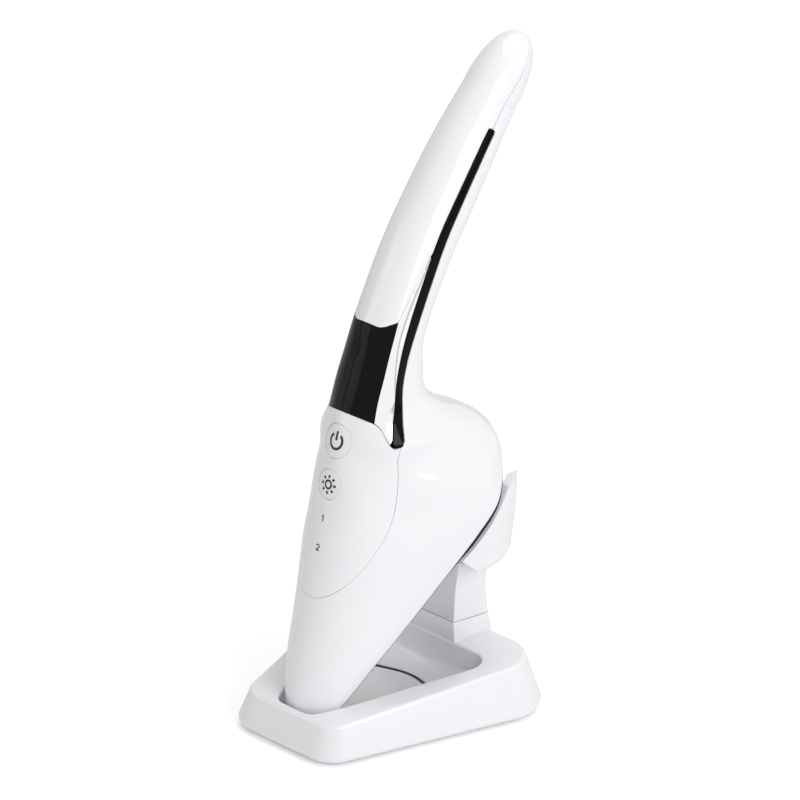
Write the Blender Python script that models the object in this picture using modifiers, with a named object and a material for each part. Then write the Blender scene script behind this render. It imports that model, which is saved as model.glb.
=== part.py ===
"""Hand-held facial lifting device standing tip down in its table holder.

Metres, +Z up.  The holder's narrow end and the buttons look along -Y, the post
with its cradle is at +Y, and the device is symmetric about the plane X = 0.
The origin is on the table, under the middle of the whole object's box.
"""

import bpy
import bmesh
import math
import numpy as np
from mathutils import Matrix, Vector

# Overall sizes of the handset
HANDSET_LENGTH = 0.250
HEAD_WIDTH = 0.063
DEPTH_MIDDLE = 0.0597
WALL = 0.0016
PANEL_WALL = 0.0012
STRIP_DEPTH = 0.0010
SEAM = 0.0003
SEAT = 0.0003
OVERRUN = 0.002

# The head's skin: front point, back point, half width, widest place, hollow of the flank
# Points are shares of the length (y, z); the half width is a share of half the head's width
SKIN_SHARES = (
    (0.0600, 0.0088, 0.1080, 0.0088, 0.305, 0.700, 0.00),
    (0.0368, 0.0264, 0.1060, 0.0264, 0.375, 0.740, 0.00),
    (0.0288, 0.0440, 0.1060, 0.0440, 0.413, 0.740, 0.00),
    (0.0276, 0.0640, 0.1100, 0.0640, 0.438, 0.740, 0.00),
    (0.0320, 0.0960, 0.1260, 0.0960, 0.508, 0.740, 0.00),
    (0.0408, 0.1372, 0.1712, 0.1372, 0.616, 0.750, 0.02),
    (0.0580, 0.2128, 0.2548, 0.2128, 0.797, 0.755, 0.07),
    (0.0728, 0.2836, 0.3288, 0.2836, 0.959, 0.750, 0.10),
    (0.0836, 0.3256, 0.3708, 0.3256, 0.997, 0.725, 0.12),
    (0.0952, 0.3740, 0.3932, 0.3740, 0.908, 0.563, 0.14),
    (0.1056, 0.4120, 0.3812, 0.4048, 0.702, 0.550, 0.02),
    (0.1144, 0.4400, 0.3460, 0.4248, 0.616, 0.570, -0.12),
    (0.1252, 0.4728, 0.2980, 0.4544, 0.514, 0.580, -0.26),
    (0.1368, 0.5080, 0.2648, 0.4840, 0.438, 0.535, -0.30),
    (0.1496, 0.5480, 0.2600, 0.5200, 0.406, 0.500, -0.18),
    (0.1728, 0.6140, 0.2640, 0.5660, 0.394, 0.500, -0.04),
    (0.2212, 0.7040, 0.3084, 0.6520, 0.394, 0.500, 0.00),
    (0.2712, 0.7748, 0.3520, 0.7172, 0.387, 0.500, 0.00),
    (0.3228, 0.8404, 0.3972, 0.7836, 0.365, 0.500, 0.00),
    (0.3724, 0.8948, 0.4364, 0.8404, 0.330, 0.500, 0.00),
)
HANDLE_END_SHARE = (0.4728, 0.9484)
END_ROW_SHARES = (0.25, 0.50, 0.68, 0.82, 0.92, 0.98, 1.0)
END_ROUNDNESS = 2.6

# The treatment face cuts the head off at this lean, through this point of its heel
FACE_LEAN = math.radians(48.0)
HEEL_SHARE = (0.3836, 0.4080)

# Seams of the skin in side view, as shares of the length (y, z)
PANEL_TOP_SHARES = ((0.1264, 0.4768), (0.1350, 0.4718), (0.1411, 0.4677), (0.1459, 0.4608),
                    (0.1497, 0.4479), (0.1540, 0.4366), (0.1602, 0.4301), (0.1675, 0.4323))
TONGUE_SHARES = ((0.0584, 0.2156), (0.0656, 0.2231), (0.0766, 0.2345), (0.0948, 0.2552),
                 (0.1174, 0.2859), (0.1366, 0.3154), (0.1490, 0.3455), (0.1573, 0.3819),
                 (0.1624, 0.4044), (0.1648, 0.4168), (0.1675, 0.4323))
TONGUE_SPLIT_SHARE = 0.30
WINDOW_SIDE_SHARES = ((0.1411, 0.4677), (0.1500, 0.5009), (0.1631, 0.5363),
                      (0.1754, 0.5678), (0.1908, 0.6045))
COVER_FOOT_SHARES = ((0.1664, 0.6000), (0.1721, 0.5974), (0.1821, 0.6012), (0.1908, 0.6045))
COVER_SIDE_SHARES = ((0.1908, 0.6045), (0.2007, 0.6183), (0.2153, 0.6394),
                     (0.2311, 0.6613), (0.2520, 0.6920), (0.2648, 0.7100))
STRIP_SHARES = ((0.1632, 0.4361), (0.1652, 0.4719), (0.1760, 0.5122), (0.1922, 0.5506),
                (0.2101, 0.5886), (0.2396, 0.6488), (0.2704, 0.7064), (0.3084, 0.7608),
                (0.3524, 0.8180), (0.3720, 0.8412))
STRIP_WIDTH = 0.0034
STRIP_END_WIDTH = 0.0024
PARTING_SHARE = 0.488

# Buttons: place up the front as shares of the length, and their sizes
POWER_HEIGHT_SHARE = 0.4380
LIGHT_HEIGHT_SHARE = 0.3768
ONE_HEIGHT_SHARE = 0.3284
TWO_HEIGHT_SHARE = 0.2872
POWER_DIAMETER = 0.0125
LIGHT_DIAMETER = 0.0108
BUTTON_GAP = 0.00025
BUTTON_DEPTH = 0.0030
BUTTON_TRAVEL = 0.0004

# Treatment head under the face
TRIM_DEPTH = 0.0008
TRIM_WIDTH = 0.0017
FACE_THICKNESS = 0.0020
PLATE_RADIUS_SHARE = 0.3571
PLATE_HEIGHT = 0.0040
PLATE_DROP_SHARE = 0.1300
# Radius and height of the steel plate's rounded side, as shares
PLATE_SHARES = ((0.0, 1.0), (0.35, 0.99), (0.60, 0.97), (0.80, 0.93), (0.89, 0.88), (0.945, 0.78),
                (0.975, 0.62), (0.99, 0.40), (1.0, 0.0), (0.0, 0.0))
LENS_LENGTH = 0.0260
LENS_WIDTH = 0.0130
LENS_RISE = 0.0006
LENS_DROP_SHARE = 0.715
LAMP_BOARD = 0.0012
LAMP_GAP = 0.0040
LAMP_SIZE = 0.0030
LAMP_HEIGHT = 0.0016
LAMP_PITCH = 0.0070

# Inner pieces of the handset
BOARD_DEPTH = 0.0068
BOARD_THICKNESS = 0.0012
BOARD_LOW_SHARE = 0.262
BOARD_HIGH_SHARE = 0.556
SWITCH_SIZE = 0.0060
SWITCH_HEIGHT = 0.0018
PLUNGER_DIAMETER = 0.0030
PLUNGER_HEIGHT = 0.0010
LED_SIZE = 0.0028
LED_HEIGHT = 0.0014
DISPLAY_WIDTH = 0.0130
DISPLAY_LENGTH = 0.0170
DISPLAY_SHARE = 0.535
CELL_DIAMETER_SHARE = 0.0568
CELL_LENGTH_SHARE = 0.1920
CELL_TIP_DIAMETER = 0.0055
CELL_TIP = 0.0012
CELL_LOW_SHARE = (0.2280, 0.6160)
CELL_HIGH_SHARE = (0.3310, 0.7720)
SPINE = 0.0016
SOCKET_SHARE = 18.35
SOCKET_WIDTH = 0.0090
SOCKET_HEIGHT = 0.0034
SOCKET_DEPTH = 0.0062
SOCKET_WALL = 0.0006
SOCKET_BOARD_LENGTH = 0.0200

# Holder: base
BASE_FRONT_WIDTH = 0.0458
BASE_BACK_WIDTH = 0.1030
BASE_FRONT_Y = -0.0010
BASE_BACK_BEHIND = 0.0186
BASE_FRONT_RADIUS = 0.0115
BASE_BACK_RADIUS = 0.0165
BASE_LIFT = 0.0012
BASE_BELLY = 0.0036
BASE_UNDERCUT = 0.0014
BASE_DRAFT_FRONT = 0.0046
BASE_DRAFT_SIDE = 0.0031
BASE_DRAFT_BACK = 0.0056
BASE_EDGE = 0.0013
RIM_Z = 0.0135
RIM_SLOPE = 0.1026
BASE_WALL = 0.0022
BASE_SHOULDER = 0.0048

# Holder: well, tray, underside
WELL_FRONT_SHARE = 0.0228
WELL_WAIST_SHARE = 0.0760
WELL_FRONT_WIDTH_SHARE = 0.2794
WELL_WAIST_WIDTH_SHARE = 0.4889
WELL_BACK_WIDTH_SHARE = 1.0952
WELL_FRONT_RADIUS = 0.0055
WELL_WAIST_RADIUS = 0.0150
WELL_BACK_RADIUS = 0.0070
WELL_DRAFT = 0.0008
FLOOR_THICKNESS = 0.0009
COVER_THICKNESS = 0.0009
TRAY_THICKNESS = 0.0010
TRAY_RISE = 0.0030
TRAY_CUP = 0.0024
TRAY_GAP = 0.0091
TRAY_BOW = 0.0040
FOOT_DIAMETER = 0.0090
FOOT_HEIGHT = 0.0010
FOOT_FRONT = (0.0150, 0.0095)
FOOT_BACK_X = 0.0270
FOOT_BACK_BEHIND = 0.0073
BOSS_DIAMETER = 0.0056
SCREW_HEAD_DIAMETER = 0.0048
SCREW_HEAD = 0.0005
SCREW_DIAMETER = 0.0022
SCREW_LENGTH = 0.0080
SCREW_CLEARANCE = 0.0003
SCREW_FRONT = (0.0236, 0.0260)
SCREW_BACK_X = 0.0378
SCREW_BACK_BEHIND = 0.0038
BALLAST_WIDTH = 0.0480
BALLAST_DEPTH = 0.0062
BALLAST_HEIGHT = 0.0120
BALLAST_BEHIND = 0.0066

# Holder: post and cradle
POST_SEAM_Z = 0.0284
POST_HOLLOW = 0.0028
POST_CORNER = 0.0050
POST_EDGE = 0.0004
WELL_BACK_AHEAD = 0.0022
# Share of the height, then half width in front and behind and y in front and behind of the
# cup's middle as shares of the head's width
STUB_SHARES = (
    (0.282, 0.2190, 0.2730, -0.0746, 0.2270),
    (0.757, 0.2143, 0.2698, -0.0746, 0.2222),
    (1.000, 0.2063, 0.2508, -0.0746, 0.2143),
)
NECK_SHARES = (
    (0.000, 0.2063, 0.2508, -0.0349, 0.2143),
    (0.318, 0.2032, 0.2317, -0.0302, 0.2016),
    (0.672, 0.2016, 0.2254, -0.0206, 0.1984),
    (1.000, 0.2159, 0.2571, -0.0048, 0.2206),
)
TENON_WIDTH = 0.0160
TENON_THICKNESS = 0.0070
TENON_HEIGHT = 0.0055
TENON_BEHIND = 0.0068
TENON_SCREW_X = 0.0046
CUP_STANDOFF = 0.0040
CUP_WALL = 0.0025
# The cup's sizes and its place from the middle of the steel plate, as shares of the head's width
CUP_RADIUS_SHARE = 0.4603
CUP_WAIST_RADIUS_SHARE = 0.4476
CUP_FOOT_RADIUS_SHARE = 0.3571
CUP_BEHIND_SHARE = 0.0087
CUP_TOP_SHARE = 0.0849
CUP_WAIST_SHARE = 0.2913
CUP_FALL_SHARE = 0.0905
NOTCH_RADIUS_SHARE = 0.3508
NOTCH_SHARE = 0.2214

# Places that follow from the sizes above
PLATE_Y = (HEEL_SHARE[0] - PLATE_DROP_SHARE * math.cos(FACE_LEAN)) * HANDSET_LENGTH
PLATE_Z = (HEEL_SHARE[1] - PLATE_DROP_SHARE * math.sin(FACE_LEAN)) * HANDSET_LENGTH
CUP_RADIUS = CUP_RADIUS_SHARE * HEAD_WIDTH
CUP_WAIST_RADIUS = CUP_WAIST_RADIUS_SHARE * HEAD_WIDTH
CUP_FOOT_RADIUS = CUP_FOOT_RADIUS_SHARE * HEAD_WIDTH
CUP_CENTRE_Y = PLATE_Y + CUP_BEHIND_SHARE * HEAD_WIDTH
CUP_TOP_Z = PLATE_Z + CUP_TOP_SHARE * HEAD_WIDTH
CUP_WAIST_Z = PLATE_Z - CUP_WAIST_SHARE * HEAD_WIDTH
CUP_BOTTOM_Z = CUP_WAIST_Z - CUP_FALL_SHARE * HEAD_WIDTH
NOTCH_Z = PLATE_Z + NOTCH_SHARE * HEAD_WIDTH
NOTCH_RADIUS = NOTCH_RADIUS_SHARE * HEAD_WIDTH
WELL_FRONT_Y = WELL_FRONT_SHARE * HANDSET_LENGTH
WELL_WAIST_Y = WELL_WAIST_SHARE * HANDSET_LENGTH
WELL_BACK_Y = CUP_CENTRE_Y - WELL_BACK_AHEAD
TRAY_BACK_Y = WELL_BACK_Y - TRAY_GAP
BASE_BACK_Y = CUP_CENTRE_Y + BASE_BACK_BEHIND
FOOT_BACK = (FOOT_BACK_X, CUP_CENTRE_Y + FOOT_BACK_BEHIND)
SCREW_BACK = (SCREW_BACK_X, CUP_CENTRE_Y + SCREW_BACK_BEHIND)

# Steps of the curved shapes
AROUND_STEPS = 9
CUTTER_STEPS = 18
PANEL_STEPS = 7
ROUND_STEPS = 28
CORNER_STEPS = 5
MERGE = 0.000001

COLLECTION = "facial_lifting_device"
CUTTERS = "cutters"


def start_scene():
    for item in list(bpy.data.objects):
        bpy.data.objects.remove(item, do_unlink=True)
    for name in (COLLECTION, CUTTERS):
        group = bpy.data.collections.get(name) or bpy.data.collections.new(name)
        if name not in bpy.context.scene.collection.children:
            bpy.context.scene.collection.children.link(group)


def finish(name, colour, roughness, metallic=0.0):
    """A plain Principled material for one sub-part."""
    material = bpy.data.materials.new(name)
    material.use_nodes = True
    shader = material.node_tree.nodes["Principled BSDF"]
    shader.inputs["Base Color"].default_value = (*colour, 1.0)
    shader.inputs["Roughness"].default_value = roughness
    shader.inputs["Metallic"].default_value = metallic
    return material


WHITE = (0.86, 0.86, 0.87)
BLACK = (0.012, 0.012, 0.014)
CHROME = (0.80, 0.80, 0.82)
STEEL = (0.62, 0.62, 0.63)
BOARD_GREEN = (0.03, 0.18, 0.08)
LOOKS = {
    "gloss white": (WHITE, 0.18, 0.0),
    "satin white": (WHITE, 0.35, 0.0),
    "gloss black": (BLACK, 0.06, 0.0),
    "chrome": (CHROME, 0.06, 1.0),
    "steel": (STEEL, 0.25, 1.0),
    "rubber": ((0.05, 0.05, 0.05), 0.75, 0.0),
    "circuit board": (BOARD_GREEN, 0.45, 0.0),
    "black plastic": ((0.03, 0.03, 0.03), 0.45, 0.0),
    "red lens": ((0.55, 0.04, 0.04), 0.12, 0.0),
    "cell wrap": ((0.05, 0.16, 0.42), 0.35, 0.0),
    "clear": ((0.90, 0.88, 0.80), 0.20, 0.0),
}


def shade(item, look):
    colour, roughness, metallic = LOOKS[look]
    item.data.materials.clear()
    item.data.materials.append(finish(item.name, colour, roughness, metallic))
    item.data.shade_smooth()
    item.data.set_sharp_from_angle(angle=math.radians(32.0))
    return item


def place(item, look):
    """Put an object in the model (with a look) or among the cutters (without)."""
    for group in list(item.users_collection):
        group.objects.unlink(item)
    if look:
        bpy.data.collections[COLLECTION].objects.link(item)
        shade(item, look)
    else:
        bpy.data.collections[CUTTERS].objects.link(item)
        item.hide_render = True
        item.display_type = "WIRE"
    return item


def at(x, y, z):
    """A point of the object, measured from the middle of the base's front edge."""
    return Vector((x, y - DEPTH_MIDDLE, z))


def mesh_object(name, points, faces, look):
    """An object from points in the base's own measure; doubled points are merged."""
    mesh = bpy.data.meshes.new(name)
    mesh.from_pydata([at(*p) for p in points], [], faces)
    work = bmesh.new()
    work.from_mesh(mesh)
    bmesh.ops.remove_doubles(work, verts=work.verts, dist=MERGE)
    work.to_mesh(mesh)
    work.free()
    return place(bpy.data.objects.new(name, mesh), look)


def primitive(name, look, parent=None, location=(0, 0, 0)):
    """Name and place the primitive that was just added."""
    item = bpy.context.object
    item.name = name
    item.data.name = name
    item.parent = parent
    item.location = location
    return place(item, look)


def box(name, size, look=None, parent=None, location=(0, 0, 0)):
    bpy.ops.mesh.primitive_cube_add(size=1)
    item = primitive(name, look, parent, location)
    item.data.transform(Matrix.Diagonal((*size, 1)))
    return item


def cylinder(name, radius, depth, look=None, parent=None, location=(0, 0, 0), steps=ROUND_STEPS):
    bpy.ops.mesh.primitive_cylinder_add(vertices=steps, radius=radius, depth=depth)
    return primitive(name, look, parent, location)


def axis_empty(name, origin, lean):
    """An empty whose local Z leans back from straight down by the given angle about X."""
    empty = bpy.data.objects.new(name, None)
    bpy.data.collections[COLLECTION].objects.link(empty)
    empty.location = origin
    empty.rotation_euler = (lean, 0, 0)
    return empty


def boolean(item, other, operation="DIFFERENCE"):
    step = item.modifiers.new(operation.lower(), "BOOLEAN")
    step.object = other
    step.operation = operation
    step.solver = "EXACT"
    return item


def mirror(item):
    step = item.modifiers.new("mirror", "MIRROR")
    step.use_axis = (True, False, False)
    step.merge_threshold = 0.00001
    return item


def solidify(item, thickness):
    step = item.modifiers.new("wall", "SOLIDIFY")
    step.thickness = thickness
    step.offset = -1.0
    return item


# The skin of the handset

def spline(points, steps):
    """A smooth curve through the points, with as many steps in each span."""
    points = np.array(points, float)
    slope = np.zeros_like(points)
    slope[1:-1] = (points[2:] - points[:-2]) / 2
    slope[0] = points[1] - points[0]
    slope[-1] = points[-1] - points[-2]
    t = np.arange(steps)[:, None] / steps
    parts = []
    for i in range(len(points) - 1):
        parts.append(points[i] * (2 * t ** 3 - 3 * t ** 2 + 1) + slope[i] * (t ** 3 - 2 * t ** 2 + t)
                     + points[i + 1] * (3 * t ** 2 - 2 * t ** 3) + slope[i + 1] * (t ** 3 - t ** 2))
    return np.vstack(parts + [points[-1:]])


def skin_rows():
    """The table of sections in metres, with the rounded end of the handle added."""
    rows = []
    for front_y, front_z, back_y, back_z, half, widest, hollow in SKIN_SHARES:
        ends = [share * HANDSET_LENGTH for share in (front_y, front_z, back_y, back_z)]
        rows.append(ends + [half * HEAD_WIDTH / 2, widest, hollow])
    last = np.array(rows[-1])
    middle = (last[0:2] + last[2:4]) / 2
    end = np.array(HANDLE_END_SHARE) * HANDSET_LENGTH
    for share in END_ROW_SHARES:
        shrink = (1 - share ** END_ROUNDNESS) ** 0.5
        centre = middle + (end - middle) * share
        front = centre + (last[0:2] - middle) * shrink
        back = centre + (last[2:4] - middle) * shrink
        rows.append([*front, *back, last[4] * shrink, last[5], last[6]])
    return np.array(rows)


ROWS = skin_rows()
ROW_SLOPES = np.vstack([ROWS[1:2] - ROWS[0:1], (ROWS[2:] - ROWS[:-2]) / 2, ROWS[-1:] - ROWS[-2:-1]])
TOP = len(ROWS) - 1.0


def row(s):
    i = min(int(s), len(ROWS) - 2)
    t = s - i
    return (ROWS[i] * (2 * t ** 3 - 3 * t ** 2 + 1) + ROW_SLOPES[i] * (t ** 3 - 2 * t ** 2 + t)
            + ROWS[i + 1] * (3 * t ** 2 - 2 * t ** 3) + ROW_SLOPES[i + 1] * (t ** 3 - t ** 2))


def section(values, a):
    """Point of a section, turned by the angle a from its front to its back."""
    front_y, front_z, back_y, back_z, half, widest, hollow = values
    turn = math.cos(a)
    if turn > 0:
        depth = widest * (1 - turn)
        half *= 1 - hollow * math.sin(2 * a) ** 2
    else:
        depth = widest - (1 - widest) * turn
    return np.array([half * math.sin(a), front_y + (back_y - front_y) * depth,
                     front_z + (back_z - front_z) * depth])


def surface(s, a):
    return section(row(s), a)


def inner_row(s, inset):
    """The section at s moved inwards on all sides."""
    values = row(s)
    rise = row(min(s + 0.01, TOP)) - row(max(s - 0.01, 0))
    front, back = values[0:2], values[2:4]
    front_in = front + np.array([rise[1], -rise[0]]) / np.hypot(rise[0], rise[1]) * inset
    back_in = back + np.array([-rise[3], rise[2]]) / np.hypot(rise[2], rise[3]) * inset
    widest = front + (back - front) * values[5] - front_in
    reach = back_in - front_in
    share = float(np.dot(widest, reach) / np.dot(reach, reach))
    return [*front_in, *back_in, values[4] - inset, share, values[6]]


def locate(y, z):
    """Row and depth share of a point seen from the side."""
    def side(s):
        front_y, front_z, back_y, back_z = row(s)[0:4]
        return (back_y - front_y) * (z - front_z) - (back_z - front_z) * (y - front_y)
    low, high = 0.0, TOP - 0.01
    for _ in range(50):
        middle = (low + high) / 2
        if side(middle) > 0:
            low = middle
        else:
            high = middle
    front_y, front_z, back_y, back_z = row(low)[0:4]
    reach = np.array([back_y - front_y, back_z - front_z])
    depth = np.dot(reach, [y - front_y, z - front_z]) / np.dot(reach, reach)
    return low, depth


def turn_of(s, depth):
    """The angle round the skin at which its side view has this depth share."""
    widest = row(s)[5]
    if depth < widest:
        return math.acos(min(1.0, 1 - depth / widest))
    return math.acos(max(-1.0, -(depth - widest) / (1 - widest)))


def trace(points, from_front=False):
    """A side view line as rows and angles; from_front starts it on the plane X = 0."""
    found = [locate(y, z) for y, z in points]
    if from_front:
        first = next(i for i, (_, depth) in enumerate(found) if depth > 0)
        if first > 0:
            (s0, d0), (s1, d1) = found[first - 1], found[first]
            found = [(s0 + (s1 - s0) * -d0 / (d1 - d0), 0.0)] + found[first:]
        else:
            found = [(found[0][0], 0.0)] + found[1:]
    return np.array([(s, turn_of(s, depth)) for s, depth in found])


def evenly(line, count):
    """The traced line at points that lie evenly along it on the skin."""
    points = np.array([surface(s, a) for s, a in line])
    run = np.concatenate([[0], np.cumsum(np.linalg.norm(np.diff(points, axis=0), axis=1))])
    wanted = np.linspace(0, run[-1], count + 1)
    return np.stack([np.interp(wanted, run, line[:, k]) for k in (0, 1)], axis=1)


def length_of(line):
    points = np.array([surface(s, a) for s, a in line])
    return float(np.sum(np.linalg.norm(np.diff(points, axis=0), axis=1)))


def beside(points, distance):
    """A side view line moved to its left, looking along it."""
    points = np.array(points)
    along = np.gradient(points, axis=0)
    along /= np.linalg.norm(along, axis=1)[:, None]
    return points + np.stack([-along[:, 1], along[:, 0]], axis=1) * np.reshape(distance, (-1, 1))


def side_line(shares, steps=8):
    return spline(np.array(shares) * HANDSET_LENGTH, steps)


def strip_half_width(points):
    """Half the strip's width along its middle line, drawn in round at both ends."""
    run = np.concatenate([[0], np.cumsum(np.linalg.norm(np.diff(points, axis=0), axis=1))])
    half = np.interp(run, [0, run[-1]], [STRIP_WIDTH / 2, STRIP_END_WIDTH / 2])
    near = np.minimum(run, run[-1] - run)
    inside = np.clip(1 - near / half, 0, 1)
    return half * np.sqrt(1 - 0.94 * inside ** 2), half


def seam_lines():
    """All seams of the skin, as side view lines in metres."""
    strip = side_line(STRIP_SHARES, 10)
    drawn, full = strip_half_width(strip)
    lines = {"strip": strip, "strip_half": drawn}
    lines["strip_front"] = beside(strip, full + SEAM)
    lines["strip_back"] = beside(strip, -(full + SEAM))
    lines["tongue"] = side_line(TONGUE_SHARES)
    lines["panel_top"] = side_line(PANEL_TOP_SHARES)
    lines["window_side"] = side_line(WINDOW_SIDE_SHARES)
    lines["cover_foot"] = side_line(COVER_FOOT_SHARES)
    lines["cover_side"] = side_line(COVER_SIDE_SHARES)
    return lines


def parting(s_from, a_from, end, gap=0.0):
    """The joint between cover and shell, row by row from the strip's end to the handle's."""
    line = []
    for s in [*range(int(s_from + 1.4), int(TOP)), end]:
        share = min(1.0, (s - s_from) / 3)
        a = a_from + (PARTING_SHARE * math.pi - a_from) * share
        half = max(row(s)[4], SEAM * 2)
        line.append((s, a - gap / half))
    return np.array(line)


def tongue_parts(lines):
    """The tongue's outline, split where the panel's foot becomes its side."""
    tongue = trace(lines["tongue"], True)
    split = int(len(tongue) * TONGUE_SPLIT_SHARE)
    return tongue[:split], tongue[split - 1:]


def shell_edge(lines, count):
    """Edge of the main shell, from the tongue's point to the handle's end."""
    corners = np.vstack([evenly(part, PANEL_STEPS)[:-1] for part in tongue_parts(lines)])
    corners = np.array([surface(s, a)[1:] for s, a in corners])
    tongue = trace(beside(corners, -SEAM * 1.5), True)
    back = lines["strip_back"]
    back = trace(back[back[:, 1] > lines["tongue"][-1, 1] + STRIP_WIDTH / 2])
    end = lines["strip"][-1] + (lines["strip"][-1] - lines["strip"][-2]) * 0.5
    upper = evenly(np.vstack([tongue[-1:], back]), count)
    tip = trace([end])
    close = parting(tip[0][0], tip[0][1], TOP)
    return np.vstack([tongue, upper[1:], tip, close])


def cover_edge(lines, counts):
    """Edge of the handle cover, from its foot on X = 0 to the handle's end."""
    foot = np.vstack([lines["cover_foot"], lines["cover_side"][1:]])
    foot = beside(foot, SEAM)
    front = lines["strip_front"]
    merge = lines["cover_side"][-1, 1]
    side = trace(foot[foot[:, 1] < merge - SEAM * 3], True)
    along = trace(front[front[:, 1] > merge + SEAM * 3])
    end = lines["strip"][-1] + (lines["strip"][-1] - lines["strip"][-2]) * 0.5
    lower = evenly(side, counts[0])
    upper = evenly(np.vstack([side[-1:], along]), counts[1])
    tip = trace([end])
    tip[0][1] -= 2 * SEAM / row(tip[0][0])[4]
    close = parting(tip[0][0], tip[0][1], TOP - 0.2, 2 * SEAM)
    edge = np.vstack([lower, upper[1:], tip, close])
    edge[:, 0] = np.maximum.accumulate(edge[:, 0])
    return edge


def quads(rows, columns, start=0):
    faces = []
    for i in range(rows - 1):
        for j in range(columns - 1):
            a = start + i * columns + j
            faces.append((a, a + 1, a + columns + 1, a + columns))
    return faces


def patch(name, grid, look):
    grid = np.array(grid)
    return mesh_object(name, grid.reshape(-1, 3), quads(grid.shape[0], grid.shape[1]), look)


def coons(foot, head, left, right, rows, columns, margins=(0, 0, 0, 0)):
    """Skin points of a four-sided piece between traced lines, drawn in by the margins."""
    foot, head = evenly(foot, 60), evenly(head, 60)
    left, right = evenly(left, 60), evenly(right, 60)

    def read(line, share):
        place_on = share * (len(line) - 1)
        i = min(int(place_on), len(line) - 2)
        return line[i] + (line[i + 1] - line[i]) * (place_on - i)

    def blend(u, v):
        return ((1 - u) * read(foot, v) + u * read(head, v) + (1 - v) * read(left, u)
                + v * read(right, u) - (1 - u) * (1 - v) * foot[0] - (1 - u) * v * foot[-1]
                - u * (1 - v) * head[0] - u * v * head[-1])

    def span(fixed, upright):
        shares = np.linspace(0, 1, 9)
        line = [blend(t, fixed) if upright else blend(fixed, t) for t in shares]
        return max(length_of(line), SEAM)

    grid = []
    for i in range(rows + 1):
        line = []
        for j in range(columns + 1):
            u, v = i / rows, j / columns
            tall, wide = span(v, True), span(u, False)
            low = min(0.4, margins[0] / tall)
            high = min(0.4, margins[1] / tall)
            near = min(0.4, margins[2] / wide)
            far = min(0.4, margins[3] / wide)
            u = low + (1 - low - high) * u
            v = near + (1 - near - far) * v
            line.append(surface(*blend(u, v)))
        grid.append(line)
    return np.array(grid)


def pod(name, inset):
    """Closed solid of the skin moved inwards, for cutting pieces to the housing."""
    stops = [s for s in np.linspace(0, TOP, int(TOP) * 2 + 1) if inset == 0 or row(s)[4] > inset * 2]
    turns = np.linspace(0, math.pi, CUTTER_STEPS + 1)
    rows = [inner_row(s, inset) if inset else row(s) for s in stops]
    grid = np.array([[section(values, a) for a in turns] for values in rows])
    last = (len(stops) - 1) * len(turns)
    faces = quads(len(stops), len(turns))
    faces.append(tuple(range(len(turns) - 1, -1, -1)))
    if inset:
        faces.append(tuple(range(last, last + len(turns))))
    item = mesh_object(name, grid.reshape(-1, 3), faces, None)
    return mirror(item)


def make_main_shell(lines, plane):
    """Head, heel and back of the handle, open where the panels and the face go."""
    edge = shell_edge(lines, 17)
    below = [(s, 0.0) for s in np.linspace(0, edge[0][0], 10)[:-1]]
    rows = np.vstack([below, edge])
    shares = np.linspace(0, 1, AROUND_STEPS + 1)
    grid = [[surface(s, a + (math.pi - a) * t) for t in shares] for s, a in rows]
    shell = patch("main_shell", grid, "gloss white")
    solidify(mirror(shell), WALL)
    return boolean(shell, plane)


def make_handle_cover(lines):
    edge = cover_edge(lines, (9, 11))
    shares = np.linspace(0, 1, 6)
    grid = [[surface(s, a * t) for t in shares] for s, a in edge]
    return solidify(mirror(patch("handle_cover", grid, "gloss white")), WALL)


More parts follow.
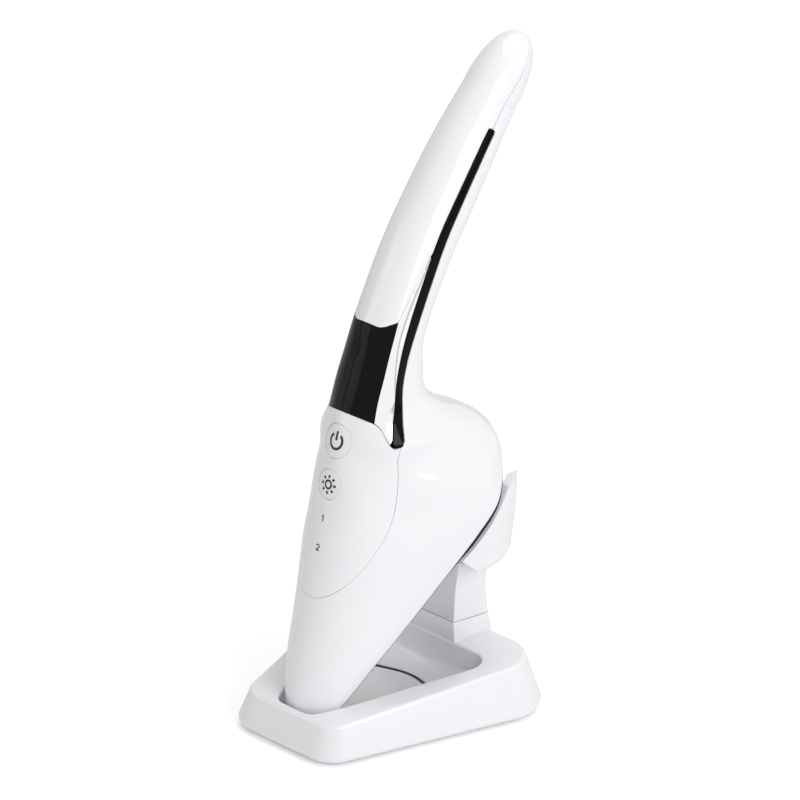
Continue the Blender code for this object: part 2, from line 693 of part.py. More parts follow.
def make_panels(lines):
    """Button panel, window and, on each side, the trim and the strip beside it."""
    foot, side = tongue_parts(lines)
    top = trace(lines["panel_top"], True)
    centre = np.array([[s, 0.0] for s in np.linspace(foot[0][0], top[0][0], 20)])
    grid = coons(foot, top, centre, side, PANEL_STEPS, PANEL_STEPS, (SEAM / 3, SEAM / 2, 0, SEAM / 3))
    solidify(mirror(patch("button_panel", grid, "gloss white")), PANEL_WALL)

    corner = next(i for i, p in enumerate(lines["panel_top"])
                  if p[1] <= WINDOW_SIDE_SHARES[0][1] * HANDSET_LENGTH)
    side = trace(lines["window_side"])
    foot = np.vstack([top[:corner], side[:1]])
    cover = trace(lines["cover_foot"], True)
    head = np.vstack([cover[:-1], side[-1:]])
    centre = np.array([[s, 0.0] for s in np.linspace(foot[0][0], head[0][0], 12)])
    grid = coons(foot, head, centre, side, 9, 5, (SEAM, 0, 0, 0))
    solidify(mirror(patch("display_window", grid, "gloss black")), PANEL_WALL)

    end = next(i for i, p in enumerate(lines["panel_top"]) if p[1] <= PANEL_TOP_SHARES[5][1] * HANDSET_LENGTH)
    front = lines["strip_front"]
    low = lines["panel_top"][end][1]
    merge = lines["cover_side"][-1, 1]
    inner = np.vstack([lines["panel_top"][end:end + 1],
                       front[(front[:, 1] > low + SEAM * 4) & (front[:, 1] < merge - SEAM)]])
    outer = np.vstack([lines["window_side"], lines["cover_side"][1:]])
    outer = outer[outer[:, 1] < merge - STRIP_WIDTH / 2]
    foot = trace(lines["panel_top"][corner:end + 1])
    inner, outer = trace(inner), trace(outer)
    foot[0] = outer[0]
    foot[-1] = inner[0]
    head = np.array([outer[-1], inner[-1]])
    for name, sign in (("chrome_trim_right", 1), ("chrome_trim_left", -1)):
        grid = coons(foot, head, outer, inner, 16, 3, (SEAM, SEAM, SEAM, 0))
        grid[:, :, 0] *= sign
        if sign < 0:
            grid = grid[:, ::-1]
        solidify(patch(name, grid, "chrome"), STRIP_DEPTH)

    strip, half = lines["strip"], lines["strip_half"]
    keep = evenly(trace(strip), 23)
    middle = np.array([surface(s, a) for s, a in keep])[:, 1:]
    half, _ = strip_half_width(middle)
    across = [trace(beside(middle, half * share)) for share in (1.0, 0.0, -1.0)]
    for name, sign in (("side_strip_right", 1), ("side_strip_left", -1)):
        grid = np.array([[surface(*line[i]) for line in across] for i in range(len(middle))])
        grid[:, :, 0] *= sign
        if sign < 0:
            grid = grid[:, ::-1]
        solidify(patch(name, grid, "gloss black"), STRIP_DEPTH)


def front_frame(name, height_share):
    """An empty on the front line at this height, local Z pointing out of the skin."""
    height = height_share * HANDSET_LENGTH
    low, high = 0.0, TOP
    for _ in range(50):
        middle = (low + high) / 2
        if row(middle)[1] < height:
            low = middle
        else:
            high = middle
    point = surface(low, 0.0)
    along = surface(low + 0.01, 0.0) - surface(low - 0.01, 0.0)
    lean = math.atan2(along[1], along[2])
    return axis_empty(name, at(*point), math.pi / 2 - lean)


def make_button(name, diameter, height_share, whole):
    """A round button cut from the skin itself, and the hole for it in the panel."""
    frame = front_frame(name + "_axis", height_share)
    tall = BUTTON_DEPTH + OVERRUN
    place_in = (0, 0, tall / 2 - BUTTON_DEPTH)
    button = cylinder(name, diameter / 2, tall, "satin white", frame, place_in)
    boolean(button, whole, "INTERSECT")
    hole = cylinder(name + "_hole", diameter / 2 + BUTTON_GAP, tall * 2, None, frame)
    boolean(bpy.data.objects["button_panel"], hole)
    return frame


def board_frame():
    """The board's empty: on the front line between the buttons, Z out of the panel."""
    low = front_frame("board_low", TWO_HEIGHT_SHARE)
    high = front_frame("board_high", POWER_HEIGHT_SHARE)
    middle = (low.location + high.location) / 2
    lean = math.atan2(high.location.y - low.location.y, high.location.z - low.location.z)
    for helper in (low, high):
        bpy.data.objects.remove(helper, do_unlink=True)
    return axis_empty("board_axis", middle, math.pi / 2 - lean), low_high(lean, middle)


def low_high(lean, middle):
    """Where a height share falls along the board, from the board's own origin."""
    def along(height_share):
        height = height_share * HANDSET_LENGTH
        return (height - middle.z) / math.cos(lean)
    return along


def make_electronics(core):
    """Board under the button panel with its switches, lamps and the display."""
    frame, along = board_frame()
    low, high = along(BOARD_LOW_SHARE), along(BOARD_HIGH_SHARE)
    top = -BOARD_DEPTH
    middle = (0, (low + high) / 2, top - BOARD_THICKNESS / 2)
    board = box("main_board", (HEAD_WIDTH, high - low, BOARD_THICKNESS), "circuit board", frame, middle)
    boolean(board, core, "INTERSECT")
    for name, share in (("power_switch", POWER_HEIGHT_SHARE), ("light_switch", LIGHT_HEIGHT_SHARE)):
        seat = top + SEAT
        body = box(name, (SWITCH_SIZE, SWITCH_SIZE, SWITCH_HEIGHT), "black plastic", frame,
                   (0, along(share), seat + SWITCH_HEIGHT / 2))
        tall = PLUNGER_HEIGHT + SWITCH_HEIGHT / 2
        stem = cylinder(name + "_stem", PLUNGER_DIAMETER / 2, tall, None, frame,
                        (0, along(share), seat + SWITCH_HEIGHT + PLUNGER_HEIGHT - tall / 2), 16)
        boolean(body, stem, "UNION")
    for name, share in (("mode_led_1", ONE_HEIGHT_SHARE), ("mode_led_2", TWO_HEIGHT_SHARE)):
        box(name, (LED_SIZE, LED_SIZE, LED_HEIGHT), "clear", frame,
            (0, along(share), top + SEAT + LED_HEIGHT / 2))
    tall = BOARD_DEPTH - WALL - SEAT - SEAM * 3
    module = box("display_module", (DISPLAY_WIDTH, DISPLAY_LENGTH, tall), "black plastic", frame,
                 (0, along(DISPLAY_SHARE) - DISPLAY_LENGTH / 2, top + SEAT + tall / 2))
    boolean(module, core, "INTERSECT")


def make_power(core):
    """The cell in its frame inside the handle, and the charging socket behind it."""
    low = at(0, *(np.array(CELL_LOW_SHARE) * HANDSET_LENGTH))
    high = at(0, *(np.array(CELL_HIGH_SHARE) * HANDSET_LENGTH))
    lean = math.atan2(high.y - low.y, high.z - low.z)
    cell_diameter = CELL_DIAMETER_SHARE * HANDSET_LENGTH
    cell_length = CELL_LENGTH_SHARE * HANDSET_LENGTH
    frame = axis_empty("cell_axis", (low + high) / 2, -lean)
    cell = cylinder("battery", cell_diameter / 2, cell_length, "cell wrap", frame)
    tip = cylinder("battery_tip", CELL_TIP_DIAMETER / 2, CELL_TIP * 2, None, frame,
                   (0, 0, cell_length / 2), 16)
    boolean(cell, tip, "UNION")
    reach = cell_length + CELL_TIP + 2 * SEAT + 2 * SPINE
    offset = cell_diameter / 2 + SEAT + SPINE / 2
    spine = box("battery_frame", (HEAD_WIDTH, SPINE, reach), "black plastic", frame,
                (0, offset, CELL_TIP / 2))
    for name, z in (("frame_low", -(cell_length + SPINE) / 2 - SEAT),
                    ("frame_high", (cell_length + SPINE) / 2 + CELL_TIP + SEAT)):
        wall = box(name, (HEAD_WIDTH, HEAD_WIDTH / 2, SPINE), None, frame, (0, 0, z))
        boolean(spine, wall, "UNION")
    boolean(spine, core, "INTERSECT")

    point = surface(SOCKET_SHARE, math.pi)
    rise = surface(SOCKET_SHARE + 0.1, math.pi) - surface(SOCKET_SHARE - 0.1, math.pi)
    lean = math.atan2(rise[1], rise[2])
    frame = axis_empty("socket_axis", at(*point), -(math.pi / 2 + lean))
    deep = SOCKET_DEPTH
    socket = box("charging_socket", (SOCKET_WIDTH, SOCKET_HEIGHT, deep), "steel", frame,
                 (0, 0, -deep / 2 - SEAT))
    mouth = box("socket_mouth", (SOCKET_WIDTH - 2 * SOCKET_WALL, SOCKET_HEIGHT - 2 * SOCKET_WALL, deep),
                None, frame, (0, 0, -SOCKET_WALL))
    boolean(socket, mouth)
    slot = box("socket_slot", (SOCKET_WIDTH + 2 * SEAT, SOCKET_HEIGHT + 2 * SEAT, OVERRUN * 4),
               None, frame)
    boolean(bpy.data.objects["main_shell"], slot)
    board = box("charging_board", (HEAD_WIDTH, SOCKET_BOARD_LENGTH, BOARD_THICKNESS), "circuit board",
                frame, (0, 0, -deep - 2 * SEAT - BOARD_THICKNESS / 2))
    boolean(board, core, "INTERSECT")


def face_frame_axis():
    """Empty on the heel; local Y runs down the face, local Z out of it."""
    heel = np.array(HEEL_SHARE) * HANDSET_LENGTH
    return axis_empty("face_axis", at(0, *heel), FACE_LEAN - math.pi)


def turned(name, profile, look, parent=None, location=(0, 0, 0), steps=ROUND_STEPS):
    """A turned solid; the profile (radius, height) runs down the outer side."""
    mesh = bpy.data.meshes.new(name)
    points = [(max(r, 0.0), 0, z) for r, z in profile]
    mesh.from_pydata(points, [(i, i + 1) for i in range(len(points) - 1)], [])
    item = place(bpy.data.objects.new(name, mesh), look)
    step = item.modifiers.new("turn", "SCREW")
    step.steps = steps
    step.render_steps = steps
    step.use_merge_vertices = True
    step.merge_threshold = MERGE
    item.parent = parent
    item.location = location
    return item


def make_face(frame, whole, inner, core):
    """Trim ring, face plate, steel plate, lamp window and lamp board of the face."""
    length = (row(0)[1] - HEEL_SHARE[1] * HANDSET_LENGTH) / -math.sin(FACE_LEAN)
    reach = (HEAD_WIDTH * 2, HANDSET_LENGTH, TRIM_DEPTH)
    ring = box("face_trim", reach, "chrome", frame, (0, 0, SEAT + TRIM_DEPTH / 2))
    boolean(ring, whole, "INTERSECT")
    boolean(ring, inner)
    plate = box("face_plate", (HEAD_WIDTH * 2, HANDSET_LENGTH, FACE_THICKNESS), "gloss white", frame,
                (0, 0, SEAT + TRIM_DEPTH - FACE_THICKNESS / 2))
    boolean(plate, core, "INTERSECT")
    profile = [(radius * PLATE_RADIUS_SHARE * HEAD_WIDTH, height * PLATE_HEIGHT) for radius, height in PLATE_SHARES]
    turned("treatment_plate", profile, "steel", frame,
           (0, PLATE_DROP_SHARE * HANDSET_LENGTH, SEAT + TRIM_DEPTH + SEAT), 28)
    lens_y = LENS_DROP_SHARE * length
    lens = cylinder("light_lens", LENS_WIDTH / 2, FACE_THICKNESS + LENS_RISE, "red lens", frame,
                    (0, lens_y, SEAT + TRIM_DEPTH + (LENS_RISE - FACE_THICKNESS) / 2))
    hole = cylinder("lens_hole", LENS_WIDTH / 2 + SEAT, FACE_THICKNESS * 3, None, frame, (0, lens_y, 0))
    for piece, extra in ((lens, 0.0), (hole, SEAT)):
        stretch = (LENS_LENGTH / 2 + extra) / (LENS_WIDTH / 2 + extra)
        piece.data.transform(Matrix.Diagonal((1, stretch, 1, 1)))
    boolean(plate, hole)
    seat = SEAT + TRIM_DEPTH - FACE_THICKNESS - LAMP_GAP
    board = box("lamp_board", (HEAD_WIDTH * 2, LENS_LENGTH, LAMP_BOARD), "circuit board", frame,
                (0, lens_y, seat - LAMP_BOARD / 2))
    boolean(board, core, "INTERSECT")
    for k in (-1, 0, 1):
        box("lamp_%d" % (k + 2), (LAMP_SIZE, LAMP_SIZE, LAMP_HEIGHT), "clear", frame,
            (0, lens_y + k * LAMP_PITCH, seat + SEAT + LAMP_HEIGHT / 2))


# The holder

def drawn_in(corners, insets):
    """The corners of a convex outline, each side moved inwards by its inset."""
    count = len(corners)
    moved = []
    for i in range(count):
        before, here, after = (np.array(corners[(i + k) % count], float) for k in (-1, 0, 1))
        one = (here - before) / np.linalg.norm(here - before)
        two = (after - here) / np.linalg.norm(after - here)
        normal_one = np.array([-one[1], one[0]]) * insets[(i - 1) % count]
        normal_two = np.array([-two[1], two[0]]) * insets[i]
        if abs(np.cross(one, two)) < 0.000001:
            moved.append(here + normal_one)
            continue
        step = np.linalg.solve(np.stack([one, -two], axis=1), (here + normal_two) - (here + normal_one))
        moved.append(here + normal_one + one * step[0])
    return moved


def rounded(corners, radii, steps=CORNER_STEPS):
    """A closed outline, anticlockwise, whose corners are arcs."""
    count = len(corners)
    outline = []
    for i in range(count):
        before, here, after = (np.array(corners[(i + k) % count], float) for k in (-1, 0, 1))
        one = (before - here) / np.linalg.norm(before - here)
        two = (after - here) / np.linalg.norm(after - here)
        half = math.acos(max(-1.0, min(1.0, float(np.dot(one, two))))) / 2
        radius = radii[i]
        centre = here + (one + two) / np.linalg.norm(one + two) * radius / math.sin(half)
        start = here + one * radius / math.tan(half) - centre
        finish_at = here + two * radius / math.tan(half) - centre
        sweep = math.atan2(np.cross(start, finish_at), np.dot(start, finish_at))
        for k in range(steps + 1):
            turn = sweep * k / steps
            outline.append(centre + np.array([start[0] * math.cos(turn) - start[1] * math.sin(turn),
                                              start[0] * math.sin(turn) + start[1] * math.cos(turn)]))
    return outline


def loft(name, rings, look):
    """A solid through closed rings of equal count, listed from the bottom up."""
    count = len(rings[0])
    points = [p for ring in rings for p in ring]
    faces = [tuple(range(count - 1, -1, -1))]
    for i in range(len(rings) - 1):
        for j in range(count):
            a, b = i * count + j, i * count + (j + 1) % count
            faces.append((a, b, b + count, a + count))
    faces.append(tuple(range((len(rings) - 1) * count, len(rings) * count)))
    return mesh_object(name, points, faces, look)


BASE_CORNERS = ((-BASE_FRONT_WIDTH / 2, BASE_FRONT_Y), (BASE_FRONT_WIDTH / 2, BASE_FRONT_Y),
                (BASE_BACK_WIDTH / 2, BASE_BACK_Y), (-BASE_BACK_WIDTH / 2, BASE_BACK_Y))
BASE_RADII = (BASE_FRONT_RADIUS, BASE_FRONT_RADIUS, BASE_BACK_RADIUS, BASE_BACK_RADIUS)


def base_outline(front, side, back):
    corners = drawn_in(BASE_CORNERS, (front, side, back, side))
    lost = (min(front, side), min(front, side), min(back, side), min(back, side))
    return rounded(corners, [radius - less for radius, less in zip(BASE_RADII, lost)])


def rim_z(y, drop=0.0):
    return RIM_Z + RIM_SLOPE * y - drop


def base_rings(extra, levels):
    """Rings of the base's outer form moved inwards by extra."""
    rings = []
    for kind, value, more in levels:
        if kind == "flat":
            outline = base_outline(more + extra, more + extra, more + extra)
            rings.append([(x, y, value) for x, y in outline])
        else:
            outline = base_outline(BASE_DRAFT_FRONT + more + extra, BASE_DRAFT_SIDE + more + extra,
                                   BASE_DRAFT_BACK + more + extra)
            rings.append([(x, y, rim_z(y, value)) for x, y in outline])
    return rings


def well_outline(inset):
    front, waist, back = (share * HEAD_WIDTH / 2 for share in
                          (WELL_FRONT_WIDTH_SHARE, WELL_WAIST_WIDTH_SHARE, WELL_BACK_WIDTH_SHARE))
    corners = [(-front, WELL_FRONT_Y), (front, WELL_FRONT_Y), (waist, WELL_WAIST_Y),
               (back, WELL_BACK_Y), (-back, WELL_BACK_Y), (-waist, WELL_WAIST_Y)]
    corners = drawn_in(corners, [inset] * 6)
    radii = [WELL_FRONT_RADIUS, WELL_FRONT_RADIUS, WELL_WAIST_RADIUS,
             WELL_BACK_RADIUS, WELL_BACK_RADIUS, WELL_WAIST_RADIUS]
    radii = [radius - inset if i != 2 and i != 5 else radius for i, radius in enumerate(radii)]
    return rounded(corners, radii)


def hollow_ring(half, y_front, y_back, z, reach=0.0):
    """Outline of the concave room in front of the post, as a ring."""
    line = []
    for k in range(9):
        share = -1 + k / 4
        line.append((half * share, y_front + POST_HOLLOW * (1 - share ** 2) + reach, z))
    return [(-half, y_back, z), (half, y_back, z)] + line[::-1]


def post_ring(section):
    """A ring of the post: hollow front, rounded back corners."""
    z = section[0]
    front, back = (share * HEAD_WIDTH for share in section[1:3])
    y_front, y_back = (CUP_CENTRE_Y + share * HEAD_WIDTH for share in section[3:5])
    corners = [(front, y_front), (back, y_back), (-back, y_back), (-front, y_front)]
    outline = rounded(corners, [POST_EDGE, POST_CORNER, POST_CORNER, POST_EDGE], 4)
    ring = [(x, y, z) for x, y in outline]
    for k in range(1, 8):
        share = -1 + k / 4
        ring.append((front * share, y_front + POST_HOLLOW * (1 - share ** 2), z))
    return ring


def make_base():
    top = [("rim", BASE_EDGE, 0.0), ("rim", BASE_EDGE * 0.62, BASE_EDGE * 0.08),
           ("rim", BASE_EDGE * 0.29, BASE_EDGE * 0.29), ("rim", BASE_EDGE * 0.08, BASE_EDGE * 0.62),
           ("rim", 0.0, BASE_EDGE)]
    levels = [("flat", BASE_LIFT, BASE_UNDERCUT), ("flat", BASE_BELLY, 0.0)] + top
    base = loft("base_shell", base_rings(0.0, levels), "gloss white")
    stub = loft("post_stub", [post_ring((POST_SEAM_Z * section[0], *section[1:])) for section in STUB_SHARES],
                None)
    boolean(base, stub, "UNION")

    floor_low = FOOT_HEIGHT + SEAT + COVER_THICKNESS + SEAT
    floor_high = floor_low + FLOOR_THICKNESS
    above = POST_SEAM_Z * 2
    well = loft("well_cut", [[(x, y, floor_high) for x, y in well_outline(WELL_DRAFT)],
                             [(x, y, above) for x, y in well_outline(0.0)]], None)
    boolean(base, well)
    half = STUB_SHARES[2][1] * HEAD_WIDTH
    bay = loft("post_bay", [hollow_ring(half, WELL_BACK_Y, WELL_BACK_Y - OVERRUN, z)
                            for z in (floor_high, above)], None)
    boolean(base, bay)

    inner = [("flat", -OVERRUN, BASE_UNDERCUT), ("flat", BASE_SHOULDER, BASE_UNDERCUT),
             ("rim", BASE_WALL, 0.0)]
    pocket = loft("base_pocket", base_rings(BASE_WALL, inner), None)
    block = loft("well_block", [[(x, y, floor_low) for x, y in well_outline(-BASE_WALL)],
                                [(x, y, above) for x, y in well_outline(-BASE_WALL)]], None)
    boolean(pocket, block)
    bay_block = loft("bay_block", [hollow_ring(half + BASE_WALL, WELL_BACK_Y, WELL_BACK_Y - OVERRUN, z, BASE_WALL)
                                   for z in (floor_low, above)], None)
    boolean(pocket, bay_block)
    for k, (x, y) in enumerate(screw_places()):
        boss = cylinder("boss_%d" % k, BOSS_DIAMETER / 2, above, None, None,
                        at(x, y, floor_low + above / 2), 16)
        boolean(pocket, boss)
    boolean(base, pocket)
    for k, (x, y) in enumerate(screw_places()):
        pilot = cylinder("pilot_%d" % k, SCREW_DIAMETER / 2 + SCREW_CLEARANCE, SCREW_LENGTH * 2, None, None,
                         at(x, y, SCREW_HEAD + SEAT + SEAT), 16)
        boolean(base, pilot)
    return floor_low, floor_high


def screw_places():
    return [(x * side, y) for x, y in (SCREW_FRONT, SCREW_BACK) for side in (-1, 1)]


def screw(name, head_radius, head, radius, length, location):
    """A screw pointing up, its head's underside at the given place."""
    profile = [(0.0, length), (radius, length), (radius, 0.0), (head_radius, 0.0),
               (head_radius, -head), (0.0, -head)]
    return turned(name, profile, "steel", None, location, 12)


def make_underside(floor_low):
    """Bottom cover, its screws, the feet and the weight in the base."""
    low = FOOT_HEIGHT + SEAT
    outline = base_outline(*[BASE_WALL + BASE_UNDERCUT + SEAT] * 3)
    cover = loft("base_cover", [[(x, y, low) for x, y in outline],
                                [(x, y, low + COVER_THICKNESS) for x, y in outline]], "satin white")
    for k, (x, y) in enumerate(screw_places()):
        screw("base_screw_%d" % (k + 1), SCREW_HEAD_DIAMETER / 2, SCREW_HEAD, SCREW_DIAMETER / 2,
              SCREW_LENGTH, at(x, y, low - SEAT))
        hole = cylinder("cover_hole_%d" % k, SCREW_DIAMETER / 2 + SCREW_CLEARANCE, SCREW_LENGTH, None, None,
                        at(x, y, low), 16)
        boolean(cover, hole)
    for name, (x, y) in (("front", FOOT_FRONT), ("back", FOOT_BACK)):
        for side, sign in (("right", 1), ("left", -1)):
            cylinder("foot_%s_%s" % (name, side), FOOT_DIAMETER / 2, FOOT_HEIGHT, "rubber", None,
                     at(x * sign, y, FOOT_HEIGHT / 2), 16)
    box("ballast_weight", (BALLAST_WIDTH, BALLAST_DEPTH, BALLAST_HEIGHT), "steel", None,
        at(0, CUP_CENTRE_Y + BALLAST_BEHIND, floor_low + BALLAST_HEIGHT / 2))


def make_tray(floor_high):
    """The curved tray that closes the well's floor, open at the back."""
    rows, columns = 8, 5
    grid = []
    front = WELL_FRONT_Y + WELL_DRAFT + 2 * SEAT
    outline = well_outline(WELL_DRAFT + 2 * SEAT)
    for i in range(rows + 1):
        line = []
        for j in range(columns + 1):
            across = j / columns
            y = front + (TRAY_BACK_Y - front) * i / rows
            bow = TRAY_BOW * i / rows
            x = half_width_at(outline, y - bow) * across
            y -= bow * across ** 2
            along = (y - front) / (TRAY_BACK_Y - front)
            z = floor_high + SEAT + TRAY_THICKNESS + TRAY_RISE * along
            z += TRAY_CUP * across ** 2 * min(1.0, 2 * along)
            line.append((x, y, z))
        grid.append(line)
    tray = patch("well_tray", grid, "gloss white")
    return solidify(mirror(tray), TRAY_THICKNESS)


def half_width_at(outline, y):
    """Half width of a symmetric outline at y."""
    best = 0.0
    count = len(outline)
    for i in range(count):
        (x0, y0), (x1, y1) = outline[i], outline[(i + 1) % count]
        if (y0 - y) * (y1 - y) <= 0 and y0 != y1:
            best = max(best, x0 + (x1 - x0) * (y - y0) / (y1 - y0))
    return best


def make_cradle(frame):
    """Neck with the cut cup on it, the tenon that holds it, and its screws."""
    pieces = []
    for name, inset in (("cup", 0.0), ("cup_room", CUP_WALL)):
        top = CUP_TOP_Z + inset * 2
        profile = [(0.0, top), (CUP_RADIUS - inset, top), (CUP_WAIST_RADIUS - inset, CUP_WAIST_Z)]
        for k in range(1, 7):
            turn = math.pi / 2 * k / 6
            reach = CUP_WAIST_RADIUS - CUP_FOOT_RADIUS - inset
            fall = CUP_WAIST_Z - CUP_BOTTOM_Z - inset
            profile.append((CUP_FOOT_RADIUS + reach * math.cos(turn), CUP_WAIST_Z - fall * math.sin(turn)))
        profile.append((0.0, CUP_BOTTOM_Z + inset))
        pieces.append(turned(name, profile, None, None, at(0, CUP_CENTRE_Y, 0), 32))
    cup = boolean(*pieces)
    tall = HEAD_WIDTH * 2
    slice_off = box("cup_slice", (tall, tall * 2, tall), None, frame, (0, tall / 2, CUP_STANDOFF - tall / 2))
    boolean(cup, slice_off)
    notch = cylinder("cup_notch", NOTCH_RADIUS, HEAD_WIDTH, None, None,
                     at(0, CUP_CENTRE_Y + HEAD_WIDTH / 2, NOTCH_Z), 48)
    notch.rotation_euler = (math.pi / 2, 0, 0)
    boolean(cup, notch)
    foot, head = POST_SEAM_Z + SEAT, CUP_BOTTOM_Z + CUP_WALL * 0.7
    cradle = loft("cradle", [post_ring((foot + (head - foot) * section[0], *section[1:]))
                             for section in NECK_SHARES], "gloss white")
    boolean(cradle, cup, "UNION")

    z_mid = POST_SEAM_Z - TENON_HEIGHT / 2
    tenon_y = CUP_CENTRE_Y + TENON_BEHIND
    tenon = box("tenon", (TENON_WIDTH, TENON_THICKNESS, TENON_HEIGHT + 2 * OVERRUN), None, None,
                at(0, tenon_y, z_mid + OVERRUN))
    boolean(cradle, tenon, "UNION")
    mortise = box("mortise", (TENON_WIDTH + 2 * SEAT, TENON_THICKNESS + 2 * SEAT, TENON_HEIGHT + SEAT + OVERRUN),
                  None, None, at(0, tenon_y, POST_SEAM_Z + (OVERRUN - TENON_HEIGHT - SEAT) / 2))
    base = bpy.data.objects["base_shell"]
    boolean(base, mortise)
    under = rim_z(tenon_y, BASE_WALL) - SEAT
    for name, sign in (("cradle_screw_right", 1), ("cradle_screw_left", -1)):
        screw(name, SCREW_HEAD_DIAMETER / 2, SCREW_DIAMETER / 2, SCREW_DIAMETER / 2, SCREW_LENGTH,
              at(sign * TENON_SCREW_X, tenon_y, under))
        hole = cylinder(name + "_hole", SCREW_DIAMETER / 2 + SCREW_CLEARANCE, SCREW_LENGTH * 2 + 2 * SEAT,
                        None, None, at(sign * TENON_SCREW_X, tenon_y, under), 16)
        boolean(base, hole)
        boolean(cradle, hole)
    return cradle


def build():
    start_scene()
    lines = seam_lines()
    frame = face_frame_axis()
    tall = HANDSET_LENGTH
    plane = box("face_cut", (HEAD_WIDTH * 2, tall * 2, tall), None, frame, (0, 0, tall / 2))
    whole = pod("pod_whole", 0.0)
    trim_out = pod("pod_trim", SEAM)
    trim_in = pod("pod_trim_inner", SEAM + TRIM_WIDTH)
    core = pod("pod_core", WALL + 3 * SEAT)
    make_main_shell(lines, plane)
    make_handle_cover(lines)
    make_panels(lines)
    make_button("power_button", POWER_DIAMETER, POWER_HEIGHT_SHARE, whole)
    make_button("light_button", LIGHT_DIAMETER, LIGHT_HEIGHT_SHARE, whole)
    make_electronics(core)
    make_power(core)
    make_face(frame, trim_out, trim_in, core)
    floor_low, floor_high = make_base()
    make_underside(floor_low)
    make_tray(floor_high)
    make_cradle(frame)
    bpy.context.view_layer.update()


build()
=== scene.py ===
"""Looks of a hand-held facial lifting device that stands tip down in its table holder."""

import math

import bmesh
import bpy
import numpy as np
from mathutils import Matrix, Vector


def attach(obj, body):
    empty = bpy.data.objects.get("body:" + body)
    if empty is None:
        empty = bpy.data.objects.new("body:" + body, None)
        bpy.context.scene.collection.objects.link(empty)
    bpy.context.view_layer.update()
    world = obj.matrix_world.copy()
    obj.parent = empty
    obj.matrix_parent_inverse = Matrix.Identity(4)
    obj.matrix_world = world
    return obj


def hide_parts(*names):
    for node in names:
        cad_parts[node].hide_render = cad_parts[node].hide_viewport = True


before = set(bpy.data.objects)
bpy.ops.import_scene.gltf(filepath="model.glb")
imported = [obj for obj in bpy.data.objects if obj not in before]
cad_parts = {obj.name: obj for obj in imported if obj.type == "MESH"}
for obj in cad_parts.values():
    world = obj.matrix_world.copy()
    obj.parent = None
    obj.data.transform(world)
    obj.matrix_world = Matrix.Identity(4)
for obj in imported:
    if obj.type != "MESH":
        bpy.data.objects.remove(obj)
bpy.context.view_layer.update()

# Main shell
# Head, heel and back of the handle are one white shell, injection moulded with a 1.6 mm wall.
# Its edge follows the button panel's tongue, the back of the black strip and the handle cover.
# The skin it is cut from carries every other outer piece of the handset too.

MM = 0.001
MIDDLE_Y = 59.7
SHELL_WALL = 1.6
SEAM, FINE_SEAM = 0.15, 0.07
LIP_RUN = np.array([0, 0.05, 0.16])
LIP_FALL = np.array([0.12, 0.03])
# Side view in mm from the base's front edge: front y and z, back y and z, half width,
# place of the widest point from front to back, hollow of the flank in front of it
ROWS = [
    (15.0, 2.2, 27.0, 2.2, 9.6, .70, 0), (9.2, 6.6, 26.5, 6.6, 11.8, .74, 0),
    (7.2, 11.0, 26.5, 11.0, 13.0, .74, 0), (6.9, 16.0, 27.5, 16.0, 13.8, .74, 0),
    (8.0, 24.0, 31.5, 24.0, 16.0, .74, 0), (10.2, 34.3, 42.8, 34.3, 19.4, .75, .02),
    (14.5, 53.2, 63.7, 53.2, 25.1, .755, .07), (18.2, 70.9, 82.2, 70.9, 30.2, .75, .10),
    (20.9, 81.4, 92.7, 81.4, 31.4, .725, .12), (23.5, 93.5, 98.3, 93.5, 28.6, .563, .12),
    (25.7, 103.0, 94.9, 101.1, 22.1, .55, -.08), (27.6, 110.0, 86.5, 107.1, 19.4, .57, -.28),
    (30.3, 118.2, 74.5, 113.6, 16.2, .58, -.23), (33.8, 127.0, 66.2, 121.0, 13.8, .535, -.26),
    (37.4, 137.0, 65.0, 130.0, 12.8, .5, -.18), (43.2, 153.5, 66.0, 141.5, 12.4, .5, -.04),
    (55.3, 176.0, 77.1, 163.0, 12.4, .5, 0), (67.8, 193.7, 88.0, 179.3, 12.2, .5, 0),
    (80.7, 210.1, 99.3, 195.9, 11.5, .5, 0), (93.1, 223.7, 109.1, 210.1, 10.4, .5, 0),
]
HANDLE_END = (118.2, 237.1)
END_ROUNDNESS = 2.6
tip = np.array(ROWS[-1])
tip_middle = (tip[0:2] + tip[2:4]) / 2
for share in (0.25, 0.50, 0.68, 0.82, 0.92, 0.98, 1.0):
    shrink = (1 - share ** END_ROUNDNESS) ** 0.5
    centre = tip_middle + (np.array(HANDLE_END) - tip_middle) * share
    front = centre + (tip[0:2] - tip_middle) * shrink
    back = centre + (tip[2:4] - tip_middle) * shrink
    ROWS.append((*front, *back, tip[4] * shrink, tip[5], tip[6]))
ROWS = np.array(ROWS)
SLOPES = np.vstack([ROWS[1:2] - ROWS[0:1], (ROWS[2:] - ROWS[:-2]) / 2, ROWS[-1:] - ROWS[-2:-1]])
TOP = len(ROWS) - 1.0
END_WAY = np.array([0, *(tip_middle - np.array(HANDLE_END))])
END_WAY = END_WAY / np.linalg.norm(END_WAY)


def between(values, slopes, i, t):
    """Values a share t of the way from number i to the next, along a smooth curve."""
    return (values[i] * (2 * t ** 3 - 3 * t ** 2 + 1) + slopes[i] * (t ** 3 - 2 * t ** 2 + t)
            + values[i + 1] * (3 * t ** 2 - 2 * t ** 3) + slopes[i + 1] * (t ** 3 - t ** 2))


def row(s):
    """The skin's section at row s."""
    s = np.clip(np.asarray(s, float), 0, TOP)
    i = np.minimum(s.astype(int), len(ROWS) - 2)
    return between(ROWS, SLOPES, i, (s - i)[..., None])


